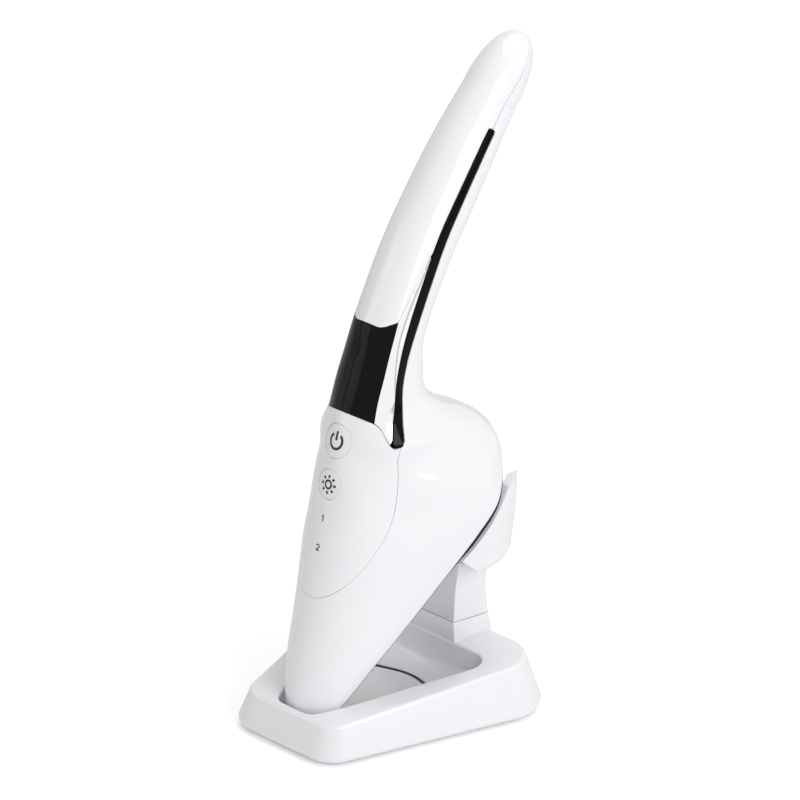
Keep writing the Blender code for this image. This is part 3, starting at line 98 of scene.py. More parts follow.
def skin(s, a):
    """Points of the skin in mm at row s, turned by a from the front to the back."""
    front_y, front_z, back_y, back_z, half, widest, hollow = np.moveaxis(row(s), -1, 0)
    turn = np.cos(a)
    depth = np.where(turn > 0, widest * (1 - turn), widest - (1 - widest) * turn)
    half = half * np.where(turn > 0, 1 - hollow * np.sin(2 * a) ** 2, 1)
    return np.stack([half * np.sin(a), front_y + (back_y - front_y) * depth,
                     front_z + (back_z - front_z) * depth], axis=-1)


def outward(s, a):
    """Unit normals of the skin."""
    step = 0.003
    s = np.clip(np.asarray(s, float), 0, TOP - 0.004)
    around = skin(s, a + step) - skin(s, a - step)
    along = skin(s + step, a) - skin(np.maximum(s - step, 0), a)
    normal = np.cross(around, along)
    return normal / np.linalg.norm(normal, axis=-1, keepdims=True)


def locate(y, z):
    """Row, angle and depth of points of the skin seen from the side."""
    y, z = np.asarray(y, float), np.asarray(z, float)
    low, high = np.zeros(y.shape), np.full(y.shape, TOP - 0.01)
    for _ in range(40):
        middle = (low + high) / 2
        y0, z0, y1, z1 = np.moveaxis(row(middle)[..., :4], -1, 0)
        above = (y1 - y0) * (z - z0) - (z1 - z0) * (y - y0) > 0
        low, high = np.where(above, middle, low), np.where(above, high, middle)
    y0, z0, y1, z1, _, widest, _ = np.moveaxis(row(low), -1, 0)
    depth = ((y1 - y0) * (y - y0) + (z1 - z0) * (z - z0)) / ((y1 - y0) ** 2 + (z1 - z0) ** 2)
    ahead = np.arccos(np.clip(1 - depth / widest, -1, 1))
    behind = np.arccos(np.clip(-(depth - widest) / (1 - widest), -1, 1))
    return low, np.where(depth < widest, ahead, behind), depth


def curve(points, steps=12):
    """A smooth line through points."""
    points = np.array(points, float)
    slope = np.gradient(points, axis=0)
    t = (np.arange(steps) / steps)[:, None]
    spans = [between(points, slope, i, t) for i in range(len(points) - 1)]
    return np.vstack(spans + [points[-1:]])


def run_of(points):
    """How far each point of a line lies from its start."""
    return np.concatenate([[0], np.cumsum(np.linalg.norm(np.diff(points, axis=0), axis=1))])


def trace(points, from_front=False):
    """A side view line as rows and angles; from_front starts it on the plane x = 0."""
    s, a, depth = locate(points[:, 0], points[:, 1])
    line = np.stack([s, a], axis=1)
    if from_front:
        first = int(np.argmax(depth > 0.0005))
        line = np.vstack([[[s[first], 0.0]], line[first + (0 if first else 1):]])
        if first:
            share = -depth[first - 1] / (depth[first] - depth[first - 1])
            line[0] = [s[first - 1] + (s[first] - s[first - 1]) * share, 0.0]
    return line


def evenly(line, count):
    """Points spread evenly along a traced line on the skin."""
    run = run_of(skin(line[:, 0], line[:, 1]))
    wanted = np.linspace(0, run[-1], count + 1)
    return np.stack([np.interp(wanted, run, line[:, k]) for k in (0, 1)], axis=1)


def beside(points, distance):
    """A side view line moved to its left by a distance in mm."""
    along = np.gradient(points, axis=0)
    along /= np.linalg.norm(along, axis=1)[:, None]
    return points + along[:, ::-1] * [-1, 1] * np.reshape(distance, (-1, 1))


def place(name, points, faces, material, body):
    """A finished object from points in mm that rides with a body."""
    mesh = bpy.data.meshes.new(name)
    points = (np.asarray(points) - [0, MIDDLE_Y, 0]) * MM
    mesh.from_pydata(points.tolist(), [], faces)
    tidied(mesh, 2e-6, 1e-6)
    mesh.shade_smooth()
    item = bpy.data.objects.new(name, mesh)
    bpy.context.scene.collection.objects.link(item)
    mesh.materials.append(material)
    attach(item, body)
    return item


def tidied(mesh, double, sliver, outward_faces=False):
    """Join points closer than double, drop edges shorter than sliver, in metres."""
    work = bmesh.new()
    work.from_mesh(mesh)
    bmesh.ops.remove_doubles(work, verts=work.verts, dist=double)
    bmesh.ops.dissolve_degenerate(work, edges=work.edges, dist=sliver)
    if outward_faces:
        bmesh.ops.recalc_face_normals(work, faces=work.faces)
    work.to_mesh(mesh)
    work.free()


def creased(item, degrees):
    """Smooth shading with sharp edges where faces meet at more than an angle."""
    item.data.shade_smooth()
    item.data.set_sharp_from_angle(angle=math.radians(degrees))


def grid_faces(rows, columns):
    """Faces of a grid of points."""
    corners = [i * columns + j for i in range(rows - 1) for j in range(columns - 1)]
    return [(a, a + 1, a + columns + 1, a + columns) for a in corners]


def skin_piece(name, patch, wall, material, walls=(1, 1, 1, 1), sides=(1, -1), inward=None):
    """A thin moulding of the skin on one or both halves.
    Each side's wall is 0, 1 or the rows between which it stands."""
    s, a, deep = patch
    normal = outward(s, a)
    normal[row(s)[..., 4] < 0.05] = -END_WAY
    outer = skin(s, a) - normal * deep[..., None]
    inward = -normal if inward is None else inward
    inner = skin(s, a) + inward * np.minimum(wall, 0.3 + 0.5 * row(s)[..., 4])[..., None]
    rows, columns = s.shape
    count = rows * columns
    faces = grid_faces(rows, columns)
    faces += [tuple(count + k for k in face[::-1]) for face in faces]
    index = np.arange(count).reshape(rows, columns)
    spans = [(0, rows) if wanted == 1 else wanted for wanted in walls]
    edges = (index[0][::-1], index[-1], index[slice(*spans[2] or (0, 0)), 0],
             index[slice(*spans[3] or (0, 0)), -1][::-1])
    for wanted, edge in zip(walls, edges):
        if wanted:
            faces += [(int(p), int(q), int(q) + count, int(p) + count)
                      for p, q in zip(edge[:-1], edge[1:])]
    points, all_faces = [], []
    base = np.vstack([outer.reshape(-1, 3), inner.reshape(-1, 3)])
    for side in sides:
        start = len(points) * len(base)
        points.append(base * [side, 1, 1])
        all_faces += [tuple(start + k for k in (f if side > 0 else f[::-1])) for f in faces]
    return place(name, np.vstack(points), all_faces, material, "handset")


def cut(item, cutters, operation="DIFFERENCE"):
    """Apply an object's modifiers and booleans, and drop the cutters."""
    for other in cutters:
        step = item.modifiers.new("cut", "BOOLEAN")
        step.object, step.operation, step.solver = other, operation, "EXACT"
    bpy.context.view_layer.update()
    evaluated = item.evaluated_get(bpy.context.evaluated_depsgraph_get())
    shaped = bpy.data.meshes.new_from_object(evaluated)
    item.modifiers.clear()
    old, item.data = item.data, shaped
    bpy.data.meshes.remove(old)
    shaped.name = item.name
    for other in cutters:
        bpy.data.objects.remove(other, do_unlink=True)


def block(size, place_at, turn):
    """A cutter box: size and middle in mm, then a placing matrix."""
    bpy.ops.mesh.primitive_cube_add(size=1)
    item = bpy.context.object
    item.matrix_world = (turn @ Matrix.Translation(Vector(place_at) * MM)
                         @ Matrix.Diagonal((*[x * MM for x in size], 1)))
    return item


def true_normals(item):
    """Give every corner that lies on the skin the skin's exact normal."""
    mesh = item.data
    points = np.array([v.co[:] for v in mesh.vertices]) / MM + [0, MIDDLE_Y, 0]
    s, a, _ = locate(points[:, 1], points[:, 2])
    exact = skin(s, a)
    far = np.abs(np.abs(points[:, 0]) - exact[:, 0]) > 0.02
    far |= np.abs(points[:, 1] - exact[:, 1]) > 0.02
    far |= s > TOP - 0.15
    normal = outward(s, a)
    normal[:, 0] *= np.where(points[:, 0] < 0, -1, 1)
    loops = np.array([loop.vertex_index for loop in mesh.loops])
    flat = np.array([p.normal[:] for p in mesh.polygons for _ in range(p.loop_total)])
    mesh.set_sharp_from_angle(angle=math.radians(35))
    given = np.array([c.vector[:] for c in mesh.corner_normals])
    fits = ~far[loops] & ((normal[loops] * flat).sum(axis=1) > 0.9)
    given[fits] = normal[loops][fits]
    mesh.normals_split_custom_set(given.tolist())


def rgb(code):
    """An sRGB hex colour as linear values."""
    parts = [int(code[i:i + 2], 16) / 255 for i in (0, 2, 4)]
    return [c / 12.92 if c <= 0.04045 else ((c + 0.055) / 1.055) ** 2.4 for c in parts] + [1.0]


def add(tree, kind, inputs, **settings):
    """Add a node; each input is a value, or the node and output that feed it."""
    node = tree.nodes.new(kind)
    for name, value in settings.items():
        setattr(node, name, value)
    for name, value in inputs.items():
        if isinstance(value, tuple) and isinstance(value[0], bpy.types.Node):
            tree.links.new(value[0].outputs[value[1]], node.inputs[name])
        else:
            node.inputs[name].default_value = value
    return node


def finish(name, code, low, high, coat=0.0, ripple_um=4.0, metal=0.0, patch_mm=50 / 3):
    """A finish whose roughness drifts from low to high in patches of a size in mm,
    with a ripple a quarter of that size and so many thousandths of a mm high."""
    material = bpy.data.materials.new(name)
    material.use_nodes = True
    tree = material.node_tree
    tree.nodes.clear()
    scale = 1 / (patch_mm * MM)
    at = add(tree, "ShaderNodeTexCoord", {})
    polish = add(tree, "ShaderNodeTexNoise",
                 {"Vector": (at, "Object"), "Scale": scale, "Detail": 4.0})
    spread = add(tree, "ShaderNodeMapRange", {"Value": (polish, "Fac"), "From Min": 0.3,
                                              "From Max": 0.7, "To Min": low, "To Max": high})
    flow = add(tree, "ShaderNodeTexNoise", {"Vector": (at, "Object"), "Scale": scale * 4})
    bump = add(tree, "ShaderNodeBump", {"Height": (flow, "Fac"), "Strength": 1.0,
                                        "Distance": ripple_um * MM * MM})
    shader = add(tree, "ShaderNodeBsdfPrincipled", {
        "Base Color": rgb(code), "Metallic": metal, "Coat Weight": coat, "Coat Roughness": 0.04,
        "Roughness": (spread, "Result"), "Normal": (bump, "Normal")})
    add(tree, "ShaderNodeOutputMaterial", {"Surface": (shader, "BSDF")})
    return material


tongue = curve([(14.6, 53.9), (16.4, 55.8), (19.15, 58.6), (23.7, 63.8), (29.35, 71.5),
                (34.2, 78.85), (37.2, 86.4), (38.8, 95.8), (39.5, 101.8), (39.6, 105.2),
                (40.05, 109.25)])
strip = curve([(39.3, 109.1), (42.2, 117.7), (44.9, 127.7), (48.4, 137.5), (52.6, 147.1),
               (59.9, 162.2), (67.6, 176.6), (77.1, 190.2), (88.1, 204.5), (93.0, 210.3)], 16)
STRIP_HALF = ([0, 12, 30, 45, 70, 95, 120], [2.0, 1.8, 1.85, 2.1, 1.9, 1.65, 1.55])
strip_run = run_of(strip)
strip_half = np.interp(strip_run, *STRIP_HALF)
strip_front = beside(strip, strip_half)
strip_back = beside(strip, -strip_half)
strip_tip = strip[-1] + (strip[-1] - strip[-2]) * 0.2


def parting(start, count):
    """The joint of cover and shell from the strip's end to the handle's end."""
    s = np.linspace(start[0], TOP, count + 1)[1:]
    share = np.clip((s - start[0]) / 3, 0, 1)
    share = share ** 2 * (3 - 2 * share)
    return np.stack([s, start[1] + (0.488 * math.pi - start[1]) * share], axis=1)


def leaning(y, z, angle):
    """A place in the middle plane, in mm, that leans back or forward by an angle."""
    spot = Vector((0, y - MIDDLE_Y, z)) * MM
    return Matrix.Translation(spot) @ Matrix.Rotation(angle, 4, "X")


HEEL = np.array([95.9, 102.0])
LEAN = math.radians(48)
face_place = leaning(*HEEL, LEAN - math.pi)
face_out = np.array([math.sin(LEAN), -math.cos(LEAN)])
face_way = np.array([0, *face_out])


def beyond_face(points):
    """How far points of the skin lie behind the plane of the face, in mm."""
    return (points[..., 1:] - HEEL) @ face_out


COLUMNS = 60
tongue_line = trace(tongue, True)
strip_back_line = trace(strip_back[strip_back[:, 1] > tongue[-1, 1] + 0.8])
tip_line = trace(strip_tip[None, :])
low_front = np.array([[s, 0.0] for s in np.linspace(0, tongue_line[0][0], 4000)])
gone = beyond_face(skin(low_front[:, 0], low_front[:, 1])) > 0
low_front = low_front[int(np.argmax(~gone)):]
edge_parts = [evenly(low_front, 60), evenly(tongue_line, 60),
              evenly(np.vstack([tongue_line[-1:], strip_back_line, tip_line]), 90),
              evenly(np.vstack([tip_line, parting(tip_line[0], 60)]), 34)]
edge = np.vstack([edge_parts[0]] + [part[1:] for part in edge_parts[1:]])
apex = len(edge_parts[0]) - 1
strip_start = apex + len(edge_parts[1]) - 1
# Lines across the shell sag near the tongue's foot, so that they meet it squarely
SAG, SAG_SPREAD = 2.6, 26.0
sag = SAG * np.exp(-((np.arange(len(edge)) - apex) / SAG_SPREAD) ** 2)
middle_s = np.maximum.accumulate(np.maximum(0, edge[:, 0] - sag))
inner_columns = np.linspace(0, 1, COLUMNS - 4)[:-1]
plain_run = np.array([0, 0.33, 0.66]) / (COLUMNS - 3)
fine_t = np.linspace(0, 1, 400)
s_grid, a_grid, deep = (np.zeros((len(edge), COLUMNS)) for _ in range(3))
heel_row = 0
for i, (s_edge, a_edge) in enumerate(edge):
    line = np.stack([s_edge + (middle_s[i] - s_edge) * fine_t,
                     a_edge + (math.pi - a_edge) * fine_t], axis=1)
    points = skin(line[:, 0], line[:, 1])
    behind = beyond_face(points)
    meets_face = behind.max() > 0.02
    last = 1.0
    if meets_face:
        k = max(int(np.argmax(behind > 0)), 1)
        last = fine_t[k - 1] + ((fine_t[k] - fine_t[k - 1]) * -behind[k - 1]
                                / (behind[k] - behind[k - 1]))
        heel_row = i + 1
    run = run_of(points)
    length = max(np.interp(last, fine_t, run), 0.01)
    small = min(1, length / 3)
    near = (FINE_SEAM if i < strip_start else SEAM) + LIP_RUN if i >= apex else plain_run * length
    far = LIP_RUN if meets_face else plain_run * length
    near, far = near * small, far * small
    at_run = np.concatenate([near[:2], near[2] + (length - near[2] - far[2]) * inner_columns,
                             length - far[::-1]])
    share = np.interp(at_run, run, fine_t)
    s_grid[i] = s_edge + (middle_s[i] - s_edge) * share
    a_grid[i] = a_edge + (math.pi - a_edge) * share
    if i == 0:
        s_grid[i], a_grid[i] = s_edge, 0.0
    if i >= apex:
        deep[i, :2] = LIP_FALL * small
    if meets_face:
        deep[i, -2:] = LIP_FALL[::-1] * small
inward = -outward(s_grid, a_grid)
inward[row(s_grid)[..., 4] < 0.05] = END_WAY
flat = inward - (inward @ face_way)[..., None] * face_way
flat /= np.maximum(np.linalg.norm(flat, axis=-1, keepdims=True), 1e-6)
blend_in = np.clip((np.arange(COLUMNS) - (COLUMNS - 16)) / 15.0, 0, 1)[None, :, None]
blend_in = np.where((np.arange(len(edge)) < heel_row)[:, None, None], blend_in, 0)
inward = inward * (1 - blend_in) + flat * blend_in
inward[0] = flat[0, 0]

# Gloss ABS from a polished tool: crisp but soft highlights, and a faint ripple where it flowed
white = finish("moulded_gloss_white", "F1F1F4", 0.10, 0.16, 0.25)
main_shell = skin_piece("main_shell_skin", (s_grid, a_grid, deep), SHELL_WALL, white,
                        (0, 0, (apex - 1, len(edge)), (0, heel_row + 1)), (1, -1), inward)
# Opening for the charging socket in the back of the handle
SOCKET_ROW = 18.35
SOCKET_OPENING = (9.6, 4.0, 9.0)
socket_at = skin(SOCKET_ROW, math.pi)
socket_way = skin(SOCKET_ROW + 0.1, math.pi) - skin(SOCKET_ROW - 0.1, math.pi)
socket_place = leaning(*socket_at[1:], math.atan2(socket_way[2], socket_way[1]))
cut(main_shell, [block(SOCKET_OPENING, (0, 0, 0), socket_place)])
true_normals(main_shell)
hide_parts("main_shell")

# Face trim
# A thin chrome ring lies round the treatment face, just below the shell's rim.
# Its dark colour is painted shade: it stands out most at the heel's side, where it draws the dark
# line of the shadowed gap between head and cup.

RIM_STEP = 0.12
# Ring's section in mm: out from the rim and down from the face's plane
SECTION = [(-1.6, 0.3), (-0.05, 0.3), (0.22, 0.42), (0.32, 0.7), (0.22, 0.98), (-0.05, 1.1),
           (-1.6, 1.1), (-1.6, 0.3)]
# The ring stands proud at the heel, where its dark colour draws the painted shade of the gap.
STANDS_OUT = ([0, 20, 32, 46, 54, 60], [-0.42, -0.42, -0.1, 0.0, -0.35, -0.45])
HEIGHT = ([0, 18, 30, 38, 48, 58], [0.4, 0.4, 0.8, 1.1, 1.1, 0.42])
rim = skin(s_grid[:heel_row + 1, -1], a_grid[:heel_row + 1, -1])
rim -= beyond_face(rim)[:, None] * face_way
rim = rim[np.concatenate([[True], np.linalg.norm(np.diff(rim, axis=0), axis=1) > RIM_STEP])]
rim[0, 0], rim[-1, 0] = 0, 0
rim = np.vstack([rim, rim[-2:0:-1] * [-1, 1, 1]])
down = np.array([0, -math.cos(LEAN), -math.sin(LEAN)])
flat_rim = np.stack([rim[:, 0], (rim - [0, *HEEL]) @ down], axis=1)
around = np.roll(flat_rim, -2, axis=0) - np.roll(flat_rim, 2, axis=0)
around /= np.linalg.norm(around, axis=1)[:, None]
sideways = around[:, ::-1] * [1, -1]
quarter = len(rim) // 4
if sideways[quarter] @ (flat_rim[quarter] - flat_rim.mean(axis=0)) < 0:
    sideways = -sideways
outwards = sideways[:, :1] * np.array([1, 0, 0]) + sideways[:, 1:] * down
proud = np.interp(flat_rim[:, 1], *STANDS_OUT)[:, None]
tall = np.interp(flat_rim[:, 1], *HEIGHT)[:, None]


def ring_faces(rings, count, flip=False):
    """Faces between closed rings of points."""
    faces = []
    for i in range(rings - 1):
        for j in range(count):
            a, b = i * count + j, i * count + (j + 1) % count
            faces.append((a, a + count, b + count, b) if flip else (a, b, b + count, a + count))
    return faces


# Chrome plate coloured dark as painted shade of the gap between head and cup: as sharp a mirror as
# the bright one
painted_shade_chrome = finish("dark_chrome_plate", "3A3B40", 0.05, 0.09, 0.0, 1.0, 1.0)
ring_points = np.vstack([rim + outwards * (side + proud) + face_way * fall * tall
                         for side, fall in SECTION])
face_trim = place("face_trim_ring", ring_points, ring_faces(len(SECTION), len(rim)),
                  painted_shade_chrome, "handset")
tidied(face_trim.data, 2e-6, 1e-6, True)
creased(face_trim, 40)
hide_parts("face_trim")

# Handle cover
# The white front half of the handle is a second gloss moulding, snapped on to the shell.
# It ends at the window, beside the chrome trims and at the front of the black strips.

cover_foot = curve([(41.7, 150.0), (43.0, 149.35), (45.5, 150.3), (47.7, 151.1)])
cover_side = curve([(47.7, 151.1), (50.2, 154.6), (53.8, 159.8), (57.8, 165.3), (63.0, 173.0),
                    (66.2, 177.5)])
TRIM_POINT_WIDTH = 0.45
heights = np.linspace(152.0, 177.0, 200)
trim_width = (np.interp(heights, strip_front[:, 1], strip_front[:, 0])
              - np.interp(heights, cover_side[:, 1], cover_side[:, 0]))
merge = heights[int(np.argmax(trim_width < TRIM_POINT_WIDTH))]


def coons(foot, head, left, right, rows, columns, gaps=(0, 0, 0, 0), lips=(1, 1, 1, 1)):
    """Rows, angles and depth of a four-sided patch, drawn in by gaps and with rounded lips."""
    lines = [evenly(line, 200) for line in (foot, head, left, right)]

    def read(line, share):
        share = np.clip(share, 0, 1) * 200
        return np.stack([np.interp(share, np.arange(201), line[:, k]) for k in (0, 1)], axis=-1)

    def blend(u, v):
        foot_at, head_at = read(lines[0], v), read(lines[1], v)
        left_at, right_at = read(lines[2], u), read(lines[3], u)
        u, v = u[..., None], v[..., None]
        return ((1 - u) * foot_at + u * head_at + (1 - v) * left_at + v * right_at
                - (1 - u) * (1 - v) * lines[0][0] - (1 - u) * v * lines[0][-1]
                - u * (1 - v) * lines[1][0] - u * v * lines[1][-1])

    def stops(count, first, last):
        found = np.array([np.linspace(0, 1, count + 1), *np.zeros((2, count + 1))])
        if first:
            found = np.hstack([[[0] * 3, LIP_RUN, [*LIP_FALL, 0]], found[:, 1:]])
        if last:
            found = np.hstack([found[:, :-1], [[1] * 3, -LIP_RUN[::-1], [0, *LIP_FALL[::-1]]]])
        return found

    def spans(count, across):
        places = np.linspace(0, 1, count)
        shares = np.linspace(0, 1, 13)
        lengths = [run_of(skin(*(blend(np.full(13, x), shares) if across
                                 else blend(shares, np.full(13, x))).T))[-1] for x in places]
        return places, np.array(lengths)

    u_base, u_off, u_fall = stops(rows, lips[0], lips[1])
    v_base, v_off, v_fall = stops(columns, lips[2], lips[3])
    u, v = np.meshgrid(u_base, v_base, indexing="ij")
    tall_at = np.maximum(np.interp(v, *spans(41, False)), 1.0)
    wide_at = np.maximum(np.interp(u, *spans(81, True)), 0.8)
    low, high = gaps[0] / tall_at, gaps[1] / tall_at
    near, far = np.minimum(gaps[2] / wide_at, 0.3), np.minimum(gaps[3] / wide_at, 0.3)
    found = blend(low + (1 - low - high) * (u + u_off[:, None] / tall_at),
                  near + (1 - near - far) * (v + v_off[None, :] / wide_at))
    return found[..., 0], found[..., 1], np.maximum(u_fall[:, None], v_fall[None, :])


foot_line = trace(cover_foot, True)
cover_right = np.vstack([trace(cover_side[cover_side[:, 1] < merge]),
                         trace(strip_front[strip_front[:, 1] > merge + 0.6]), tip_line,
                         parting(tip_line[0], 60)])
centre_line = np.array([[s, 0.0] for s in np.linspace(foot_line[0][0], TOP, 60)])
end_line = np.array([[TOP, 0.0], [TOP, cover_right[-1][1]]])
patch = coons(foot_line, end_line, centre_line, cover_right, 110, 26,
              (SEAM, 0, 0, SEAM), (1, 0, 0, 1))
cover = skin_piece("handle_cover_skin", patch, SHELL_WALL, white, (1, 0, 0, 1))
true_normals(cover)
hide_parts("handle_cover")

# Button panel
# The white tongue in the middle of the head is a gloss moulding with a 1.2 mm wall.
# Two round holes in it take the buttons.

PANEL_WALL = 1.2
POWER_HEIGHT, LIGHT_HEIGHT = 109.5, 94.2
POWER_HOLE, LIGHT_HOLE = 6.36, 5.51
TONGUE_FOOT_SHARE = 0.30
panel_top = curve([(30.9, 119.7), (33.3, 118.2), (34.9, 117.2), (36.0, 115.5), (36.45, 112.6),
                   (37.05, 110.1), (38.25, 108.7), (40.05, 109.25)])
split = int(len(tongue_line) * TONGUE_FOOT_SHARE)
top_line = trace(panel_top, True)
centre_line = np.array([[s, 0.0] for s in np.linspace(tongue_line[0][0], top_line[0][0], 40)])
patch = coons(tongue_line[:split + 1], top_line, centre_line, tongue_line[split:], 60, 34,
              (FINE_SEAM, SEAM, 0, FINE_SEAM), (1, 1, 0, 1))
panel = skin_piece("button_panel_skin", patch, PANEL_WALL, white, (1, 1, 0, 1))


def front_row(height):
    """Row whose front point is at a height."""
    s = np.linspace(0, TOP, 6000)
    return float(np.interp(height, row(s)[:, 1], s))


def on_front(x, along, height):
    """Rows and angles of flat places (x, along) laid on the front round a height."""
    start = front_row(height)
    s = start + np.linspace(-1.2, 1.2, 400)
    run = run_of(row(s)[:, 0:2])
    found = np.interp(along, run - np.interp(start, s, run), s)
    r = row(found)
    a = np.arcsin(np.clip(x / r[..., 4], -1, 1))
    for _ in range(12):
        a = np.arcsin(np.clip(x / (r[..., 4] * (1 - r[..., 6] * np.sin(2 * a) ** 2)), -1, 1))
    return found, a


def disc(name, radii, height, material, body):
    """A round solid on the front, straight along the button's way, from (radius, depth) pairs
    that run from the middle of its top outwards and under."""
    turns = np.linspace(0, 2 * math.pi, 73)[:-1]
    press = outward(front_row(height), 0.0)
    rings = []
    for radius, sunk in radii:
        s, a = on_front(radius * np.cos(turns), radius * np.sin(turns), height)
        rings.append(skin(s, a) - press * sunk)
    faces = ring_faces(len(rings), len(turns), True)
    return place(name, np.vstack(rings), faces, material, body)


for hole_radius, height in ((POWER_HOLE, POWER_HEIGHT), (LIGHT_HOLE, LIGHT_HEIGHT)):
    cutter = [(0, -1.5), (hole_radius, -1.5), (hole_radius, 3.0), (0, 3.0)]
    cut(panel, [disc("hole", cutter, height, white, "handset")])
true_normals(panel)
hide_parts("button_panel")

# Buttons
# Two round caps with a slight crown lie almost flush in the panel, 0.11 mm clear of their holes.
# Their signs, and a plain numeral beside each lamp, are pad printed in black.

CAP_SUNK, CAP_CROWN, CAP_FOOT = 0.10, 0.06, 2.9
# ABS from a finely blasted tool: the same white with a broad, soft highlight
white_satin = finish("moulded_satin_white", "EFEFF2", 0.28, 0.38)
for node, radius, height in (("power_button", POWER_HOLE - 0.11, POWER_HEIGHT),
                             ("light_button", LIGHT_HOLE - 0.11, LIGHT_HEIGHT)):
    cap = [(radius * share, CAP_SUNK - CAP_CROWN * (1 - share ** 2))
           for share in (0, .2, .4, .6, .8, .93)]
    cap += [(radius - 0.12, CAP_SUNK + 0.02), (radius - 0.04, CAP_SUNK + 0.08),
            (radius, CAP_SUNK + 0.2), (radius, 1.6), (radius, CAP_FOOT),
            (radius * 0.5, CAP_FOOT), (0, CAP_FOOT)]
    button = disc(node + "_cap", cap, height, white_satin, node)
    creased(button, 40)
    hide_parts(node)


def printed(name, flats, height, sunk, body):
    """A thin print on the front, from flat shapes of points (x, along) and faces."""
    above, below = 0.012, 0.05
    points, faces = [], []
    for flat_points, flat_faces in flats:
        start, count = len(points), len(flat_points)
        s, a = on_front(*np.array(flat_points, float).T, height)
        bed, normal = skin(s, a), outward(s, a)
        points += [*(bed - normal * (sunk - above)), *(bed - normal * (sunk + below))]
        faces += [tuple(start + k for k in face) for face in flat_faces]
        faces += [tuple(start + count + k for k in face[::-1]) for face in flat_faces]
        sides = {(face[k - 1], face[k]) for face in flat_faces for k in range(len(face))}
        faces += [(start + q, start + p, start + count + p, start + count + q)
                  for p, q in sorted(sides) if (q, p) not in sides]
    return place(name, points, faces, ink, body)


def ribbon(inner, outer):
    """A flat band between two lines; where their ends meet, it is closed."""
    closed = np.allclose(inner[0], inner[-1])
    count = len(inner) - 1 if closed else len(inner)
    faces = [(i, (i + 1) % count, count + (i + 1) % count, count + i)
             for i in range(count if closed else count - 1)]
    return [*inner[:count], *outer[:count]], faces


def arc(radius, width, start, end):
    """Part of a flat ring, in degrees from the top."""
    turns = np.radians(np.linspace(start, end, 41))
    return ribbon(*([(r * math.sin(t), r * math.cos(t)) for t in turns]
                    for r in (radius - width / 2, radius + width / 2)))


def bar(x0, y0, x1, y1, width):
    """A flat bar between two points."""
    along = np.array([x1 - x0, y1 - y0])
    side = along[::-1] * [-1, 1] / np.hypot(*along) * width / 2
    middle = [np.array([x0, y0]) + along * share for share in np.linspace(0, 1, 5)]
    return ribbon([tuple(p - side) for p in middle], [tuple(p + side) for p in middle])


# Pad-printed ink: near black and a little duller than the plastic round it
ink = finish("printed_black_ink", "101012", 0.30, 0.42)

# The rays round the lamp sign: one flat bar, set round a circle
SIGN_RAYS = {"Rays": 8, "Middle": 2.875, "Length": 1.05, "Width": 0.85}
rays = bpy.data.node_groups.new("sign_rays", "GeometryNodeTree")
for name, value in SIGN_RAYS.items():
    kind = "NodeSocketInt" if name == "Rays" else "NodeSocketFloat"
    rays.interface.new_socket(name, in_out="INPUT", socket_type=kind).default_value = value
rays.interface.new_socket("Geometry", in_out="OUTPUT", socket_type="NodeSocketGeometry")
given = add(rays, "NodeGroupInput", {})
one_ray = add(rays, "GeometryNodeMeshGrid", {
    "Size X": (given, "Length"), "Size Y": (given, "Width"), "Vertices X": 5, "Vertices Y": 2})
circle = add(rays, "GeometryNodeMeshCircle", {
    "Vertices": (given, "Rays"), "Radius": (given, "Middle")})
part = add(rays, "ShaderNodeMath", {0: math.tau, 1: (given, "Rays")}, operation="DIVIDE")
number = add(rays, "GeometryNodeInputIndex", {})
turn = add(rays, "ShaderNodeMath", {0: (number, "Index"), 1: (part, "Value")}, operation="MULTIPLY")
way = add(rays, "ShaderNodeCombineXYZ", {"Z": (turn, "Value")})
spread = add(rays, "GeometryNodeInstanceOnPoints", {
    "Points": (circle, "Mesh"), "Instance": (one_ray, "Mesh"), "Rotation": (way, "Vector")})
real = add(rays, "GeometryNodeRealizeInstances", {"Geometry": (spread, "Instances")})
add(rays, "NodeGroupOutput", {"Geometry": (real, "Geometry")})
flat_rays = bpy.data.objects.new("flat_rays", bpy.data.meshes.new("flat_rays"))
bpy.context.scene.collection.objects.link(flat_rays)
flat_rays.modifiers.new("rays", "NODES").node_group = rays
cut(flat_rays, [])
ray_flat = ([v.co[:2] for v in flat_rays.data.vertices],
            [tuple(p.vertices) for p in flat_rays.data.polygons])
bpy.data.objects.remove(flat_rays, do_unlink=True)

BUTTON_PRINT_SUNK = 0.03
power_sign = printed("power_sign", [arc(2.75, 0.95, 36, 324), bar(0, 0.3, 0, 3.6, 0.95)],
                     POWER_HEIGHT, BUTTON_PRINT_SUNK, "power_button")
light_sign = printed("light_sign", [arc(1.4, 0.75, 0, 360), ray_flat],
                     LIGHT_HEIGHT, BUTTON_PRINT_SUNK, "light_button")
one = printed("numeral_1", [bar(0, -1.15, 0, 1.2, 0.5), bar(0.1, 1.1, -0.6, 0.55, 0.42)],
              82.1, 0.0, "handset")
two_line = curve([(-0.7, 0.55), (-0.35, 1.05), (0.25, 1.05), (0.62, 0.6), (0.45, 0.05),
                  (-0.7, -1.0)], 5)
two = printed("numeral_2", [ribbon(beside(two_line, -0.23), beside(two_line, 0.23)),
                            bar(-0.85, -0.97, 0.75, -0.97, 0.44)], 71.8, 0.0, "handset")

# Display window
# A bent pane of dark tinted acrylic, 1.2 mm thick, fills the front between panel and cover.
# It is glued in, so only a hairline shows round it.

